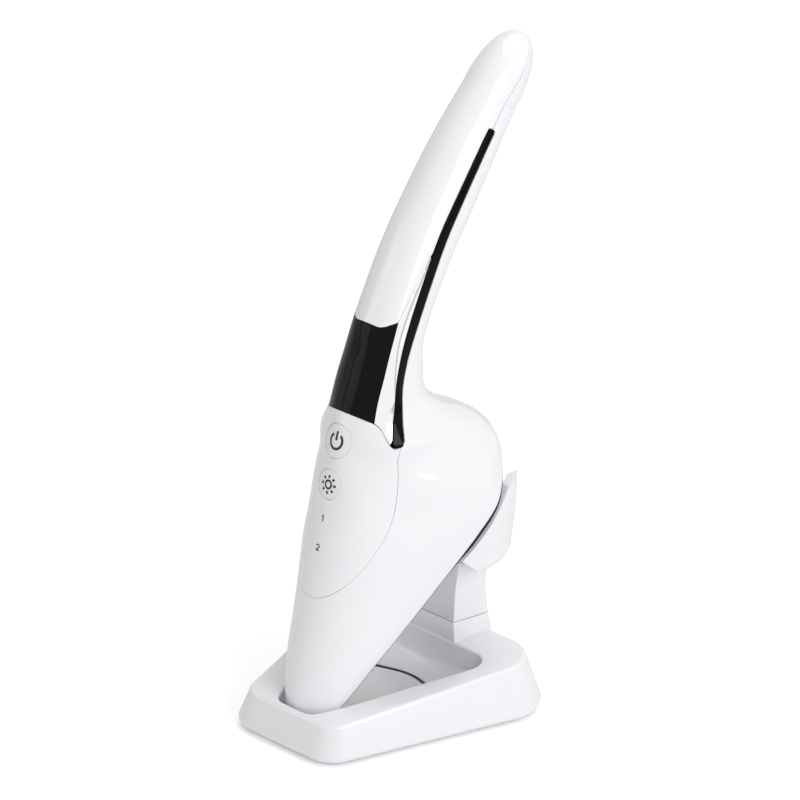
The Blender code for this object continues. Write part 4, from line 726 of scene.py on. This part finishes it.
WINDOW_CORNER_Z = 117.2
PANE_WALL, TRIM_SEAM = 1.2, 0.06
window_side = curve([(34.9, 117.2), (37.4, 125.3), (40.8, 134.1), (43.85, 141.95), (47.7, 151.1)])
side_line = trace(window_side)
on_panel = skin(*top_line[:-1].T)[:, 2] > WINDOW_CORNER_Z + 0.05
foot_line = np.vstack([top_line[:-1][on_panel], side_line[:1]])
head_line = np.vstack([trace(cover_foot, True)[:-1], side_line[-1:]])
centre_line = np.array([[s, 0.0] for s in np.linspace(foot_line[0][0], head_line[0][0], 30)])
patch = coons(foot_line, head_line, centre_line, side_line, 40, 20, (SEAM, SEAM, 0, TRIM_SEAM),
              (1, 1, 0, 1))
# Acrylic with black print behind it: mirror smooth, and kept as deep a black as the photo's
# The black strips take this black too, where it is painted reflection of the chrome trim's edge.
black = finish("gloss_black_and_painted_reflection", "030304", 0.03, 0.06, 0.0, 1.0)
black.node_tree.nodes["Principled BSDF"].inputs["Specular IOR Level"].default_value = 0.12
window = skin_piece("display_window_glass", patch, PANE_WALL, black, (1, 1, 0, 1))
true_normals(window)
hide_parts("display_window")

# Chrome trims
# A plated plastic band on each side runs from the panel's shoulder up beside the window.
# It narrows to a point where the handle cover meets the black strip.

BAND_WALL = 1.0
BAND_FOOT = (37.05, 110.1)
corner = int(np.argmin(np.abs(panel_top[:, 1] - WINDOW_CORNER_Z)))
end = int(np.argmin(np.abs(panel_top - BAND_FOOT).sum(axis=1)))
above_foot = (strip_front[:, 1] > panel_top[end, 1] + 1.0) & (strip_front[:, 1] < merge)
inner_line = np.vstack([panel_top[end:end + 1], strip_front[above_foot]])
outer_line = np.vstack([window_side, cover_side[1:]])
outer_line = outer_line[outer_line[:, 1] < merge]
foot_line = trace(panel_top[corner:end + 1])
inner_line, outer_line = trace(inner_line), trace(outer_line)
foot_line[0], foot_line[-1] = outer_line[0], inner_line[0]
head_line = np.array([outer_line[-1], inner_line[-1]])
patch = coons(foot_line, head_line, outer_line, inner_line, 80, 14, (SEAM, SEAM, TRIM_SEAM, SEAM))
# Bright chrome plate: a clean mirror, paler than steel
chrome = finish("bright_chrome_plate", "F4F4F7", 0.03, 0.07, 0.0, 1.0, 1.0)
for side, name in ((1, "right"), (-1, "left")):
    trim = skin_piece("chrome_trim_%s_band" % name, patch, BAND_WALL, chrome, sides=(side,))
    true_normals(trim)
    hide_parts("chrome_trim_" + name)

# Black strips of painted reflection
# A strip with round ends runs up each flank, between cover and shell; the strip is real, its gloss
# black is painted reflection of the chrome trim's edge.
# It is 1 mm thick and pressed into a groove, so a fine seam shows all round it.

fine = np.linspace(0, strip_run[-1], 161)
end_zone = np.linspace(0, 1, 9)[1:-1] ** 2 * 1.6
fine = np.unique(np.concatenate([fine[4:-4], end_zone, strip_run[-1] - end_zone,
                                 [0.004, strip_run[-1] - 0.004]]))
middle = np.stack([np.interp(fine, strip_run, strip[:, k]) for k in (0, 1)], axis=1)
full = np.interp(fine, *STRIP_HALF) - SEAM
near_end = np.minimum(fine, strip_run[-1] - fine)
half = full * np.sqrt(np.clip(1 - np.clip(1 - near_end / full, 0, 1) ** 2, 0.0004, 1))
shares = [1.0, 0.97, 0.9, 0.6, 0.3, 0, -0.3, -0.6, -0.9, -0.97, -1.0]
lines = np.stack([trace(beside(middle, half * share)) for share in shares], axis=1)
edge_fall = np.array([*LIP_FALL, 0, 0, 0, 0, 0, 0, 0, *LIP_FALL[::-1]])
patch = (lines[..., 0], lines[..., 1], np.tile(edge_fall, (len(middle), 1)))
for side, name in ((1, "right"), (-1, "left")):
    painted_reflection_strip = skin_piece("side_strip_%s_inlay" % name, patch, BAND_WALL, black, sides=(side,))
    true_normals(painted_reflection_strip)
    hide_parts("side_strip_" + name)

# Treatment plate
# A round stainless plate, turned on a lathe with a shallow dome, is the part that meets the face.
# It sits in the white face plate above the red lamp window.

# Wave scale that sets the rings 0.22 mm apart: a twentieth of a turn over 0.2244 mm, per metre
RING_MARKS = 1400.0
PLATE_PROFILE = [(0, 4.0), (4, 3.99), (8, 3.96), (12, 3.9), (16, 3.8), (18.5, 3.68), (20, 3.52),
                 (21.1, 3.2), (21.75, 2.75), (22.1, 2.2), (22.3, 1.5), (22.5, 0.1), (22.3, 0.0),
                 (0, 0)]
PLATE_AT = (0, 0.0325, 0.0014)
plate_place = face_place @ Matrix.Translation(PLATE_AT)


def turned(name, profile, steps, middle, material, body, way=np.eye(3)):
    """A closed solid turned round an axis from (radius, height) pairs that run down."""
    turns = np.linspace(0, 2 * math.pi, steps + 1)[:-1]
    points = [(r * math.cos(t), r * math.sin(t), z) for r, z in profile for t in turns]
    return place(name, np.array(points) @ way.T + middle, ring_faces(len(profile), steps, True),
                 material, body)


# Turned steel: its tool marks draw the highlight out into a fan. Real ones lie about 0.05 mm
# apart, too fine to show, so they are drawn coarser.
steel = finish("turned_brushed_steel", "C3C4C8", 0.16, 0.26, 0.0, 2.0, 1.0)
tree = steel.node_tree
centred = add(tree, "ShaderNodeMapping", {"Vector": (tree.nodes["Texture Coordinate"], "Object"),
                                          "Location": tuple(-plate_place.translation)})
marks = add(tree, "ShaderNodeTexWave",
            {"Vector": (centred, "Vector"), "Scale": RING_MARKS, "Distortion": 1.5, "Detail": 3.0},
            wave_type="RINGS", rings_direction="SPHERICAL")
tree.links.new(marks.outputs["Fac"], tree.nodes["Bump"].inputs["Height"])
plate_middle = np.array(plate_place.translation) / MM + [0, MIDDLE_Y, 0]
plate = turned("treatment_plate_turned", PLATE_PROFILE, 120, plate_middle, steel, "handset",
               np.array(plate_place.to_3x3()))
creased(plate, 40)
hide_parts("treatment_plate")

# Holder base
# A tapered white moulding with rounded edges surrounds a well for the handset's tip.
# Its rim rises towards the back, where the stub of the post is moulded on.

BASE_CORNERS = [(-24.5, -1.4), (24.5, -1.4), (51.5, 93.3), (-51.5, 93.3)]
BASE_RADII = (11.5, 16.5)
WELL_CORNERS = [(-8.8, 5.7), (8.8, 5.7), (15.4, 19.0), (34.5, 72.5), (-34.5, 72.5), (-15.4, 19.0)]
RIM_FRONT_Z, RIM_SLOPE = 13.5, 0.1026
RIM_INSET = (4.6, 3.1, 5.6)
RIM_ROUND, WELL_ROUND = 1.5, 0.9
# Foot and underside: inset and height of each ring
BASE_FOOT = ((0.05, 4.0), (0.15, 3.0), (0.6, 2.0), (1.2, 1.35), (1.6, 1.2), (3.45, 1.2),
             (3.5, 1.4), (3.6, 2.6))


def drawn_in(corners, insets):
    """Corners of a convex outline with each side moved inwards."""
    corners = np.array(corners, float)
    along = np.roll(corners, -1, axis=0) - corners
    along /= np.linalg.norm(along, axis=1)[:, None]
    inwards = along[:, ::-1] * [-1, 1]
    reach = (inwards * corners).sum(axis=1) + insets
    return [np.linalg.solve(inwards[[i - 1, i]], reach[[i - 1, i]]) for i in range(len(corners))]


def rounded(corners, radii, count=288):
    """An outline with round corners as evenly spread points from the middle of its front."""
    outline = []
    for i, here in enumerate(corners):
        one, two = corners[i - 1] - here, corners[(i + 1) % len(corners)] - here
        one, two = one / np.linalg.norm(one), two / np.linalg.norm(two)
        angle = math.acos(one @ two) / 2
        middle_at = here + (one + two) / np.linalg.norm(one + two) * radii[i] / math.sin(angle)
        start = here + one * radii[i] / math.tan(angle) - middle_at
        turns = np.linspace(0, math.pi - 2 * angle, 25)
        outline.append(middle_at + np.outer(np.cos(turns), start)
                       + np.outer(np.sin(turns), [-start[1], start[0]]))
    outline = np.vstack(outline)
    right_half = outline[outline[:, 0] > 0]
    right_half = np.vstack([[0, right_half[0][1]], right_half, [0, right_half[-1][1]]])
    run = run_of(right_half)
    wanted = np.linspace(0, run[-1], count // 2 + 1)
    half_points = np.stack([np.interp(wanted, run, right_half[:, k]) for k in (0, 1)], axis=1)
    return np.vstack([half_points, half_points[-2:0:-1] * [-1, 1]])


def base_outline(front_in, side_in, back_in):
    """The base's outline, drawn in at its front, sides and back."""
    corners = drawn_in(BASE_CORNERS, (front_in, side_in, back_in, side_in))
    near = BASE_RADII[0] - min(front_in, side_in)
    far = BASE_RADII[1] - min(back_in, side_in)
    return rounded(corners, (near, near, far, far))


def well_outline(inset):
    """The well's outline, drawn in all round."""
    corners = drawn_in(WELL_CORNERS, [inset] * 6)
    return rounded(corners, (5.5 - inset, 5.5 - inset, 15, 7.0 - inset, 7.0 - inset, 15))


def ring(outline, level=None, drop=0.0):
    """A ring of points at a level, or at a drop below the sloping rim."""
    slope = RIM_FRONT_Z + RIM_SLOPE * outline[:, 1] - drop
    return np.column_stack([outline, slope if level is None else np.full(len(outline), level)])


def rim_ring(inset, drop):
    """A ring of the rim's outer edge."""
    return ring(base_outline(*(inset + x for x in RIM_INSET)), None, drop)


rings = [ring(well_outline(0.8), 3.4), ring(well_outline(0.75), 3.6),
         ring(well_outline(0.3), None, 3.0)]
for t in np.radians(np.arange(0, 91, 15)):
    rings.append(ring(well_outline(0.3 - WELL_ROUND * (1 - math.cos(t))), None,
                      WELL_ROUND * (1 - math.sin(t))))
for t in np.radians(np.linspace(0, 90, 9)):
    rings.append(rim_ring(RIM_ROUND * (1 - math.sin(t)), RIM_ROUND * (1 - math.cos(t))))
rings += [ring(base_outline(inset, inset, inset), z) for inset, z in BASE_FOOT]
rings += [rim_ring(2.2, 2.2), ring(well_outline(-2.2), None, 2.2), ring(well_outline(-2.0), 2.5)]
count = len(rings[0])
points = np.vstack(rings)
faces = [tuple(range(count)), tuple(range(len(points) - 1, len(points) - count - 1, -1))]
faces += ring_faces(len(rings), count, True)
base = place("base_moulding", points, faces, white, "holder")

POST_CORNER = 5.0


def post_ring(z, front_half, back_half, front_y, back_y):
    """A ring of the post: a flat front, tapered sides, rounded back corners."""
    start, bend = np.array([front_half, front_y]), np.array([back_half, back_y])
    side = (bend - start) / np.linalg.norm(bend - start)
    first, last = bend - side * POST_CORNER, bend - [POST_CORNER, 0]
    t = np.linspace(0, 1, 13)[:-1, None]
    right = np.vstack([start + (first - start) * t,
                       (1 - t) ** 2 * first + 2 * t * (1 - t) * bend + t ** 2 * last])
    front_side = np.linspace(-1, 1, 33)[:-1, None] * [front_half, 0] + [0, front_y]
    back_side = np.linspace(1, -1, 17)[:-1, None] * [last[0], 0] + [0, back_y]
    mirrored = np.vstack([right, last])[:0:-1] * [-1, 1]
    outline = np.vstack([front_side, right, back_side, mirrored])
    return np.column_stack([outline, np.full(len(outline), z)])


def tower(name, rings):
    """A closed white solid through rings of points that run up."""
    count, total = len(rings[0]), len(rings[0]) * len(rings)
    faces = [tuple(range(count - 1, -1, -1)), tuple(range(total - count, total))]
    return place(name, np.vstack(rings), faces + ring_faces(len(rings), count), white, "holder")


# Post's sections, as the neck's too: height, half width in front and behind, front y, back y
STUB = [(8.0, 13.8, 17.4, 72.45, 90.6), (21.5, 13.5, 17.0, 72.45, 90.3),
        (28.2, 13.0, 15.95, 72.45, 89.7), (28.4, 12.85, 15.8, 72.6, 89.55)]
cut(base, [tower("stub", [post_ring(*values) for values in STUB])], "UNION")
creased(base, 38)
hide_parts("base_shell")

# Well tray
# A separate curved floor lies in the well, and a thin wall behind it rises to the post.
# Both are the base's white plastic; a shadow gap of 1 mm shows between them.

TRAY_FRONT, TRAY_BACK = 7.1, 63.4
TRAY_FRONT_Z, TRAY_RISE = 4.7, 1.5
COVE_Y, COVE_Z, COVE_BACK, COVE_TOP = 64.2, 7.0, 72.6, 20.6
SIDE_RISE = 1.2


def bowed(across):
    """How far tray and wall curve forward towards their sides."""
    return 25.0 * across ** 2 / (1 + 2.2 * across ** 2)


def sheet(name, points, rows, columns, thickness):
    """A curved white sheet in the well with a thickness in mm."""
    item = place(name, points, grid_faces(rows, columns), white, "holder")
    step = item.modifiers.new("wall", "SOLIDIFY")
    step.thickness, step.offset = thickness * MM, -1
    cut(item, [])
    creased(item, 38)
    return item


wall_side = well_outline(1.4)
wall_side = wall_side[:len(wall_side) // 2 + 1]
points, columns, rows = [], 25, 41
for share in np.linspace(0, 1, rows):
    for across in np.linspace(-1, 1, columns):
        y = TRAY_FRONT + (TRAY_BACK - TRAY_FRONT) * share - bowed(across) * share
        if y > wall_side[1, 1]:
            half_width = np.interp(y, wall_side[:, 1], wall_side[:, 0])
        else:
            half_width = wall_side[:, 0][wall_side[:, 1] <= y + 0.05].max()
        along = (y - TRAY_FRONT) / (TRAY_BACK - TRAY_FRONT)
        z = TRAY_FRONT_Z + TRAY_RISE * along + SIDE_RISE * across ** 2 * min(1, 2 * along)
        points.append((half_width * across, y, z))
tray = sheet("well_tray_dish", points, rows, columns, 1.0)
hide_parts("well_tray")

wall_side = well_outline(0.2)
wall_side = wall_side[1:len(wall_side) // 2]
points, columns, rows = [], 49, 25
for t in np.linspace(0, math.pi / 2, rows):
    for across in np.linspace(-1, 1, columns):
        near_y, near_z = COVE_Y - bowed(across), COVE_Z + SIDE_RISE * across ** 2
        y = near_y + (COVE_BACK - near_y) * math.sin(t) ** 0.6
        z = near_z + (COVE_TOP - near_z) * (1 - abs(math.cos(t)) ** 0.6)
        points.append((np.interp(y, wall_side[:, 1], wall_side[:, 0]) * across, y, z))
sheet("base_cove", points, rows, columns, 0.5)

# Cradle
# One white moulding: a waisted neck and a thin cup that is cut along the face, so that two
# pointed horns hold the head. The neck is screwed to the base's stub from below.

CUP_AXIS = (0, 74.7, 0)
CUP_TOP, ROOM_TOP = 83.2, 88.2
corner_turns = np.radians(np.arange(6, 91, 6))
cup_outside = [(0, CUP_TOP), (30.0, CUP_TOP), (30.0, 78), (29.8, 72), (29.2, 66),
               (28.6, 61), (28.2, 57.5)]
cup_outside += [(22.2 + 6.0 * math.cos(t), 57.5 - 6.0 * math.sin(t)) for t in corner_turns]
cup_inside = [(0, ROOM_TOP), (26.5, ROOM_TOP), (26.35, 80), (26.15, 72), (25.9, 66), (25.7, 59.5)]
cup_inside += [(22.5 + 3.2 * math.cos(t), 59.5 - 3.2 * math.sin(t)) for t in corner_turns]
cup, room = (turned(name, profile + [(0, profile[-1][1])], 144, CUP_AXIS, white, "holder")
             for name, profile in (("cup", cup_outside), ("cup_room", cup_inside)))
cut(cup, [room])

FACE_CLEARANCE = 4.0
DIP_RADIUS, DIP_AT = 22.1, (0, (104.7 - MIDDLE_Y) * MM, 91.8 * MM)
UNDER_AT, UNDER_LEAN = (69.0, 55.4), math.radians(-40.6)
cut(cup, [block((200, 300, 120), (0, 0, FACE_CLEARANCE - 60), face_place)])
cut(cup, [block((200, 90, 60), (0, 0, -30.0), leaning(*UNDER_AT, UNDER_LEAN))])
bpy.ops.mesh.primitive_cylinder_add(vertices=160, radius=DIP_RADIUS * MM, depth=60 * MM)
dip = bpy.context.object
dip.matrix_world = Matrix.Translation(DIP_AT) @ Matrix.Rotation(math.pi / 2, 4, "X")
cut(cup, [dip])

NECK = [(28.7, 12.85, 15.65, 72.75, 89.3), (28.9, 13.0, 15.8, 72.6, 89.5),
        (31.0, 12.95, 15.6, 72.8, 89.4), (35.0, 12.8, 15.2, 73.1, 89.3),
        (39.0, 12.7, 15.0, 73.5, 89.3), (42.0, 12.7, 15.0, 73.9, 89.4),
        (46.0, 12.9, 15.4, 74.3, 89.8), (49.0, 13.2, 16.0, 74.5, 90.4),
        (53.5, 13.8, 17.0, 74.6, 91.2)]
EDGE_ROUND = 0.45
cradle = tower("cradle_moulding", [post_ring(*values) for values in NECK])
cut(cradle, [cup], "UNION")
tidied(cradle.data, 3e-5, 2e-5)
step = cradle.modifiers.new("soft edges", "BEVEL")
step.width, step.segments = EDGE_ROUND * MM, 3
step.limit_method, step.angle_limit = "ANGLE", math.radians(50)
step.harden_normals = False
cut(cradle, [])
creased(cradle, 38)
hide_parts("cradle")

# Pieces that keep their solids
# Face plate, lamp window, boards, cell, screws, feet, ballast and lower cover are the CAD's own;
# each gets the finish of its real material.

# Zinc-plated screws and a cast weight: grey, with a soft broken shine
plain_steel = finish("turned_screw_steel", "B9BABE", 0.22, 0.34, 0.0, 3.0, 1.0, 2.5)
# Moulded rubber feet: nearly black, without a highlight, with a fine grain
rubber = finish("moulded_rubber", "1B1B1C", 0.62, 0.80, 0.0, 20.0, 0.0, 2.0)
# Green solder lacquer on glass fibre board: a thin gloss over a fine weave
board = finish("circuit_board_lacquer", "1F5A35", 0.28, 0.45, 0.3, 10.0, 0.0, 10 / 3)
# Black plastic of switches and frames: half dull, with a fine grain
dull_black = finish("moulded_black", "1A1A1B", 0.38, 0.5, 0.0, 10.0, 0.0, 4.0)
# Red tinted acrylic of the lamp window: deep colour under a clear shine
lens = finish("red_window", "A8242A", 0.05, 0.10, 0.5, 2.0)
# Blue shrink film round the cell: a soft shine with small creases
wrap = finish("cell_wrap", "2B5A9E", 0.25, 0.38, 0.2, 10.0, 0.0, 5.0)
# Cast epoxy of the lamps: pale yellow and glossy
clear = finish("clear_lamp", "EEEAD8", 0.08, 0.14, 0.4, 2.0)
FINISHES = (
    (white, "face_plate"), (lens, "light_lens"), (white_satin, "base_cover"),
    (steel, "treatment_plate"), (rubber, "foot"),
    (board, "main_board", "charging_board", "lamp_board"),
    (plain_steel, "charging_socket", "ballast_weight", "cradle_screw", "base_screw"),
    (dull_black, "power_switch", "light_switch", "display_module", "battery_frame"),
    (clear, "lamp_", "mode_led"), (wrap, "battery"),
)
for node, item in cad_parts.items():
    for look, *starts in FINISHES:
        if node.startswith(tuple(starts)):
            for slot in item.material_slots:
                slot.material = look
            break

# Floor and backdrop
# A white matt floor fades into a white surround, as in a studio packshot.
# Seen by the camera it glows a little more with distance, and keeps the object's shadow.

bpy.ops.mesh.primitive_plane_add(size=6)
floor = bpy.context.object
floor.name = "floor"
paper = bpy.data.materials.new("white_studio_floor")
paper.use_nodes = True
tree = paper.node_tree
tree.nodes.clear()
at = add(tree, "ShaderNodeTexCoord", {})
away = add(tree, "ShaderNodeVectorMath", {"Vector": (at, "Object")}, operation="LENGTH")
rise = add(tree, "ShaderNodeMapRange", {"Value": (away, "Value"), "From Min": 0.3, "From Max": 2.2,
                                        "To Min": 0.30, "To Max": 0.95})
path = add(tree, "ShaderNodeLightPath", {})
glow = add(tree, "ShaderNodeMath", {0: (path, "Is Camera Ray"), 1: (rise, "Result")},
           operation="MULTIPLY")
shader = add(tree, "ShaderNodeBsdfPrincipled", {
    "Base Color": rgb("FAFAFB"), "Roughness": 0.45, "Emission Color": (1, 1, 1, 1),
    "Emission Strength": (glow, "Value")})
add(tree, "ShaderNodeOutputMaterial", {"Surface": (shader, "BSDF")})
floor.data.materials.append(paper)

world = bpy.data.worlds.new("studio")
bpy.context.scene.world = world
world.use_nodes = True
tree = world.node_tree
tree.nodes.clear()
path = add(tree, "ShaderNodeLightPath", {})
seen = add(tree, "ShaderNodeMath", {0: (path, "Is Camera Ray"), 1: (path, "Is Glossy Ray")},
           operation="MAXIMUM")
strength = add(tree, "ShaderNodeMix", {"Factor": (seen, "Value"), "A": 0.38, "B": 1.0})
sky = add(tree, "ShaderNodeBackground", {"Color": (1, 1, 1, 1), "Strength": (strength, "Result")})
add(tree, "ShaderNodeOutputWorld", {"Surface": (sky, "Background")})

# Lights
# A large soft box on the right gives the bright flank, one above the top edges, and a weak
# one on the left keeps the shaded front open. Places in metres, powers in watts.

SOFT_BOXES = (("key_right", (1.3, -0.25, 0.75), (0, 0, 0.12), 0.8, 9.4),
              ("top", (0.1, 0.3, 1.3), (0, 0, 0.1), 1.0, 6.4),
              ("fill_left", (-0.7, -1.2, 0.6), (0, 0, 0.12), 0.8, 2.0))
for name, place_at, target, size, power in SOFT_BOXES:
    data = bpy.data.lights.new(name, "AREA")
    data.shape, data.size, data.size_y, data.energy = "RECTANGLE", size, size, power
    item = bpy.data.objects.new(name, data)
    bpy.context.scene.collection.objects.link(item)
    item.location = place_at
    item.rotation_euler = (Vector(target) - Vector(place_at)).to_track_quat("-Z", "Y").to_euler()

# Camera
# A long lens looks from the front right and a little above, as in the photograph.
# Its shift sets the picture's middle without turning the view.

CAMERA_DISTANCE = 2.0
camera = bpy.data.objects.new("camera", bpy.data.cameras.new("camera"))
bpy.context.scene.collection.objects.link(camera)
bpy.context.scene.camera = camera
camera.data.lens = 257.14
camera.data.sensor_width = 36
camera.data.clip_end = 20
camera.data.shift_x = -0.0061
camera.data.shift_y = 0.0023
target = Vector((0, 61.0 - MIDDLE_Y, 114.0)) * MM
toward = Vector((0.652595, -0.641304, 0.403545)).normalized()
camera.location = target + toward * CAMERA_DISTANCE
camera.rotation_euler = toward.to_track_quat("Z", "Y").to_euler()

bpy.context.scene.view_settings.view_transform = "Standard"
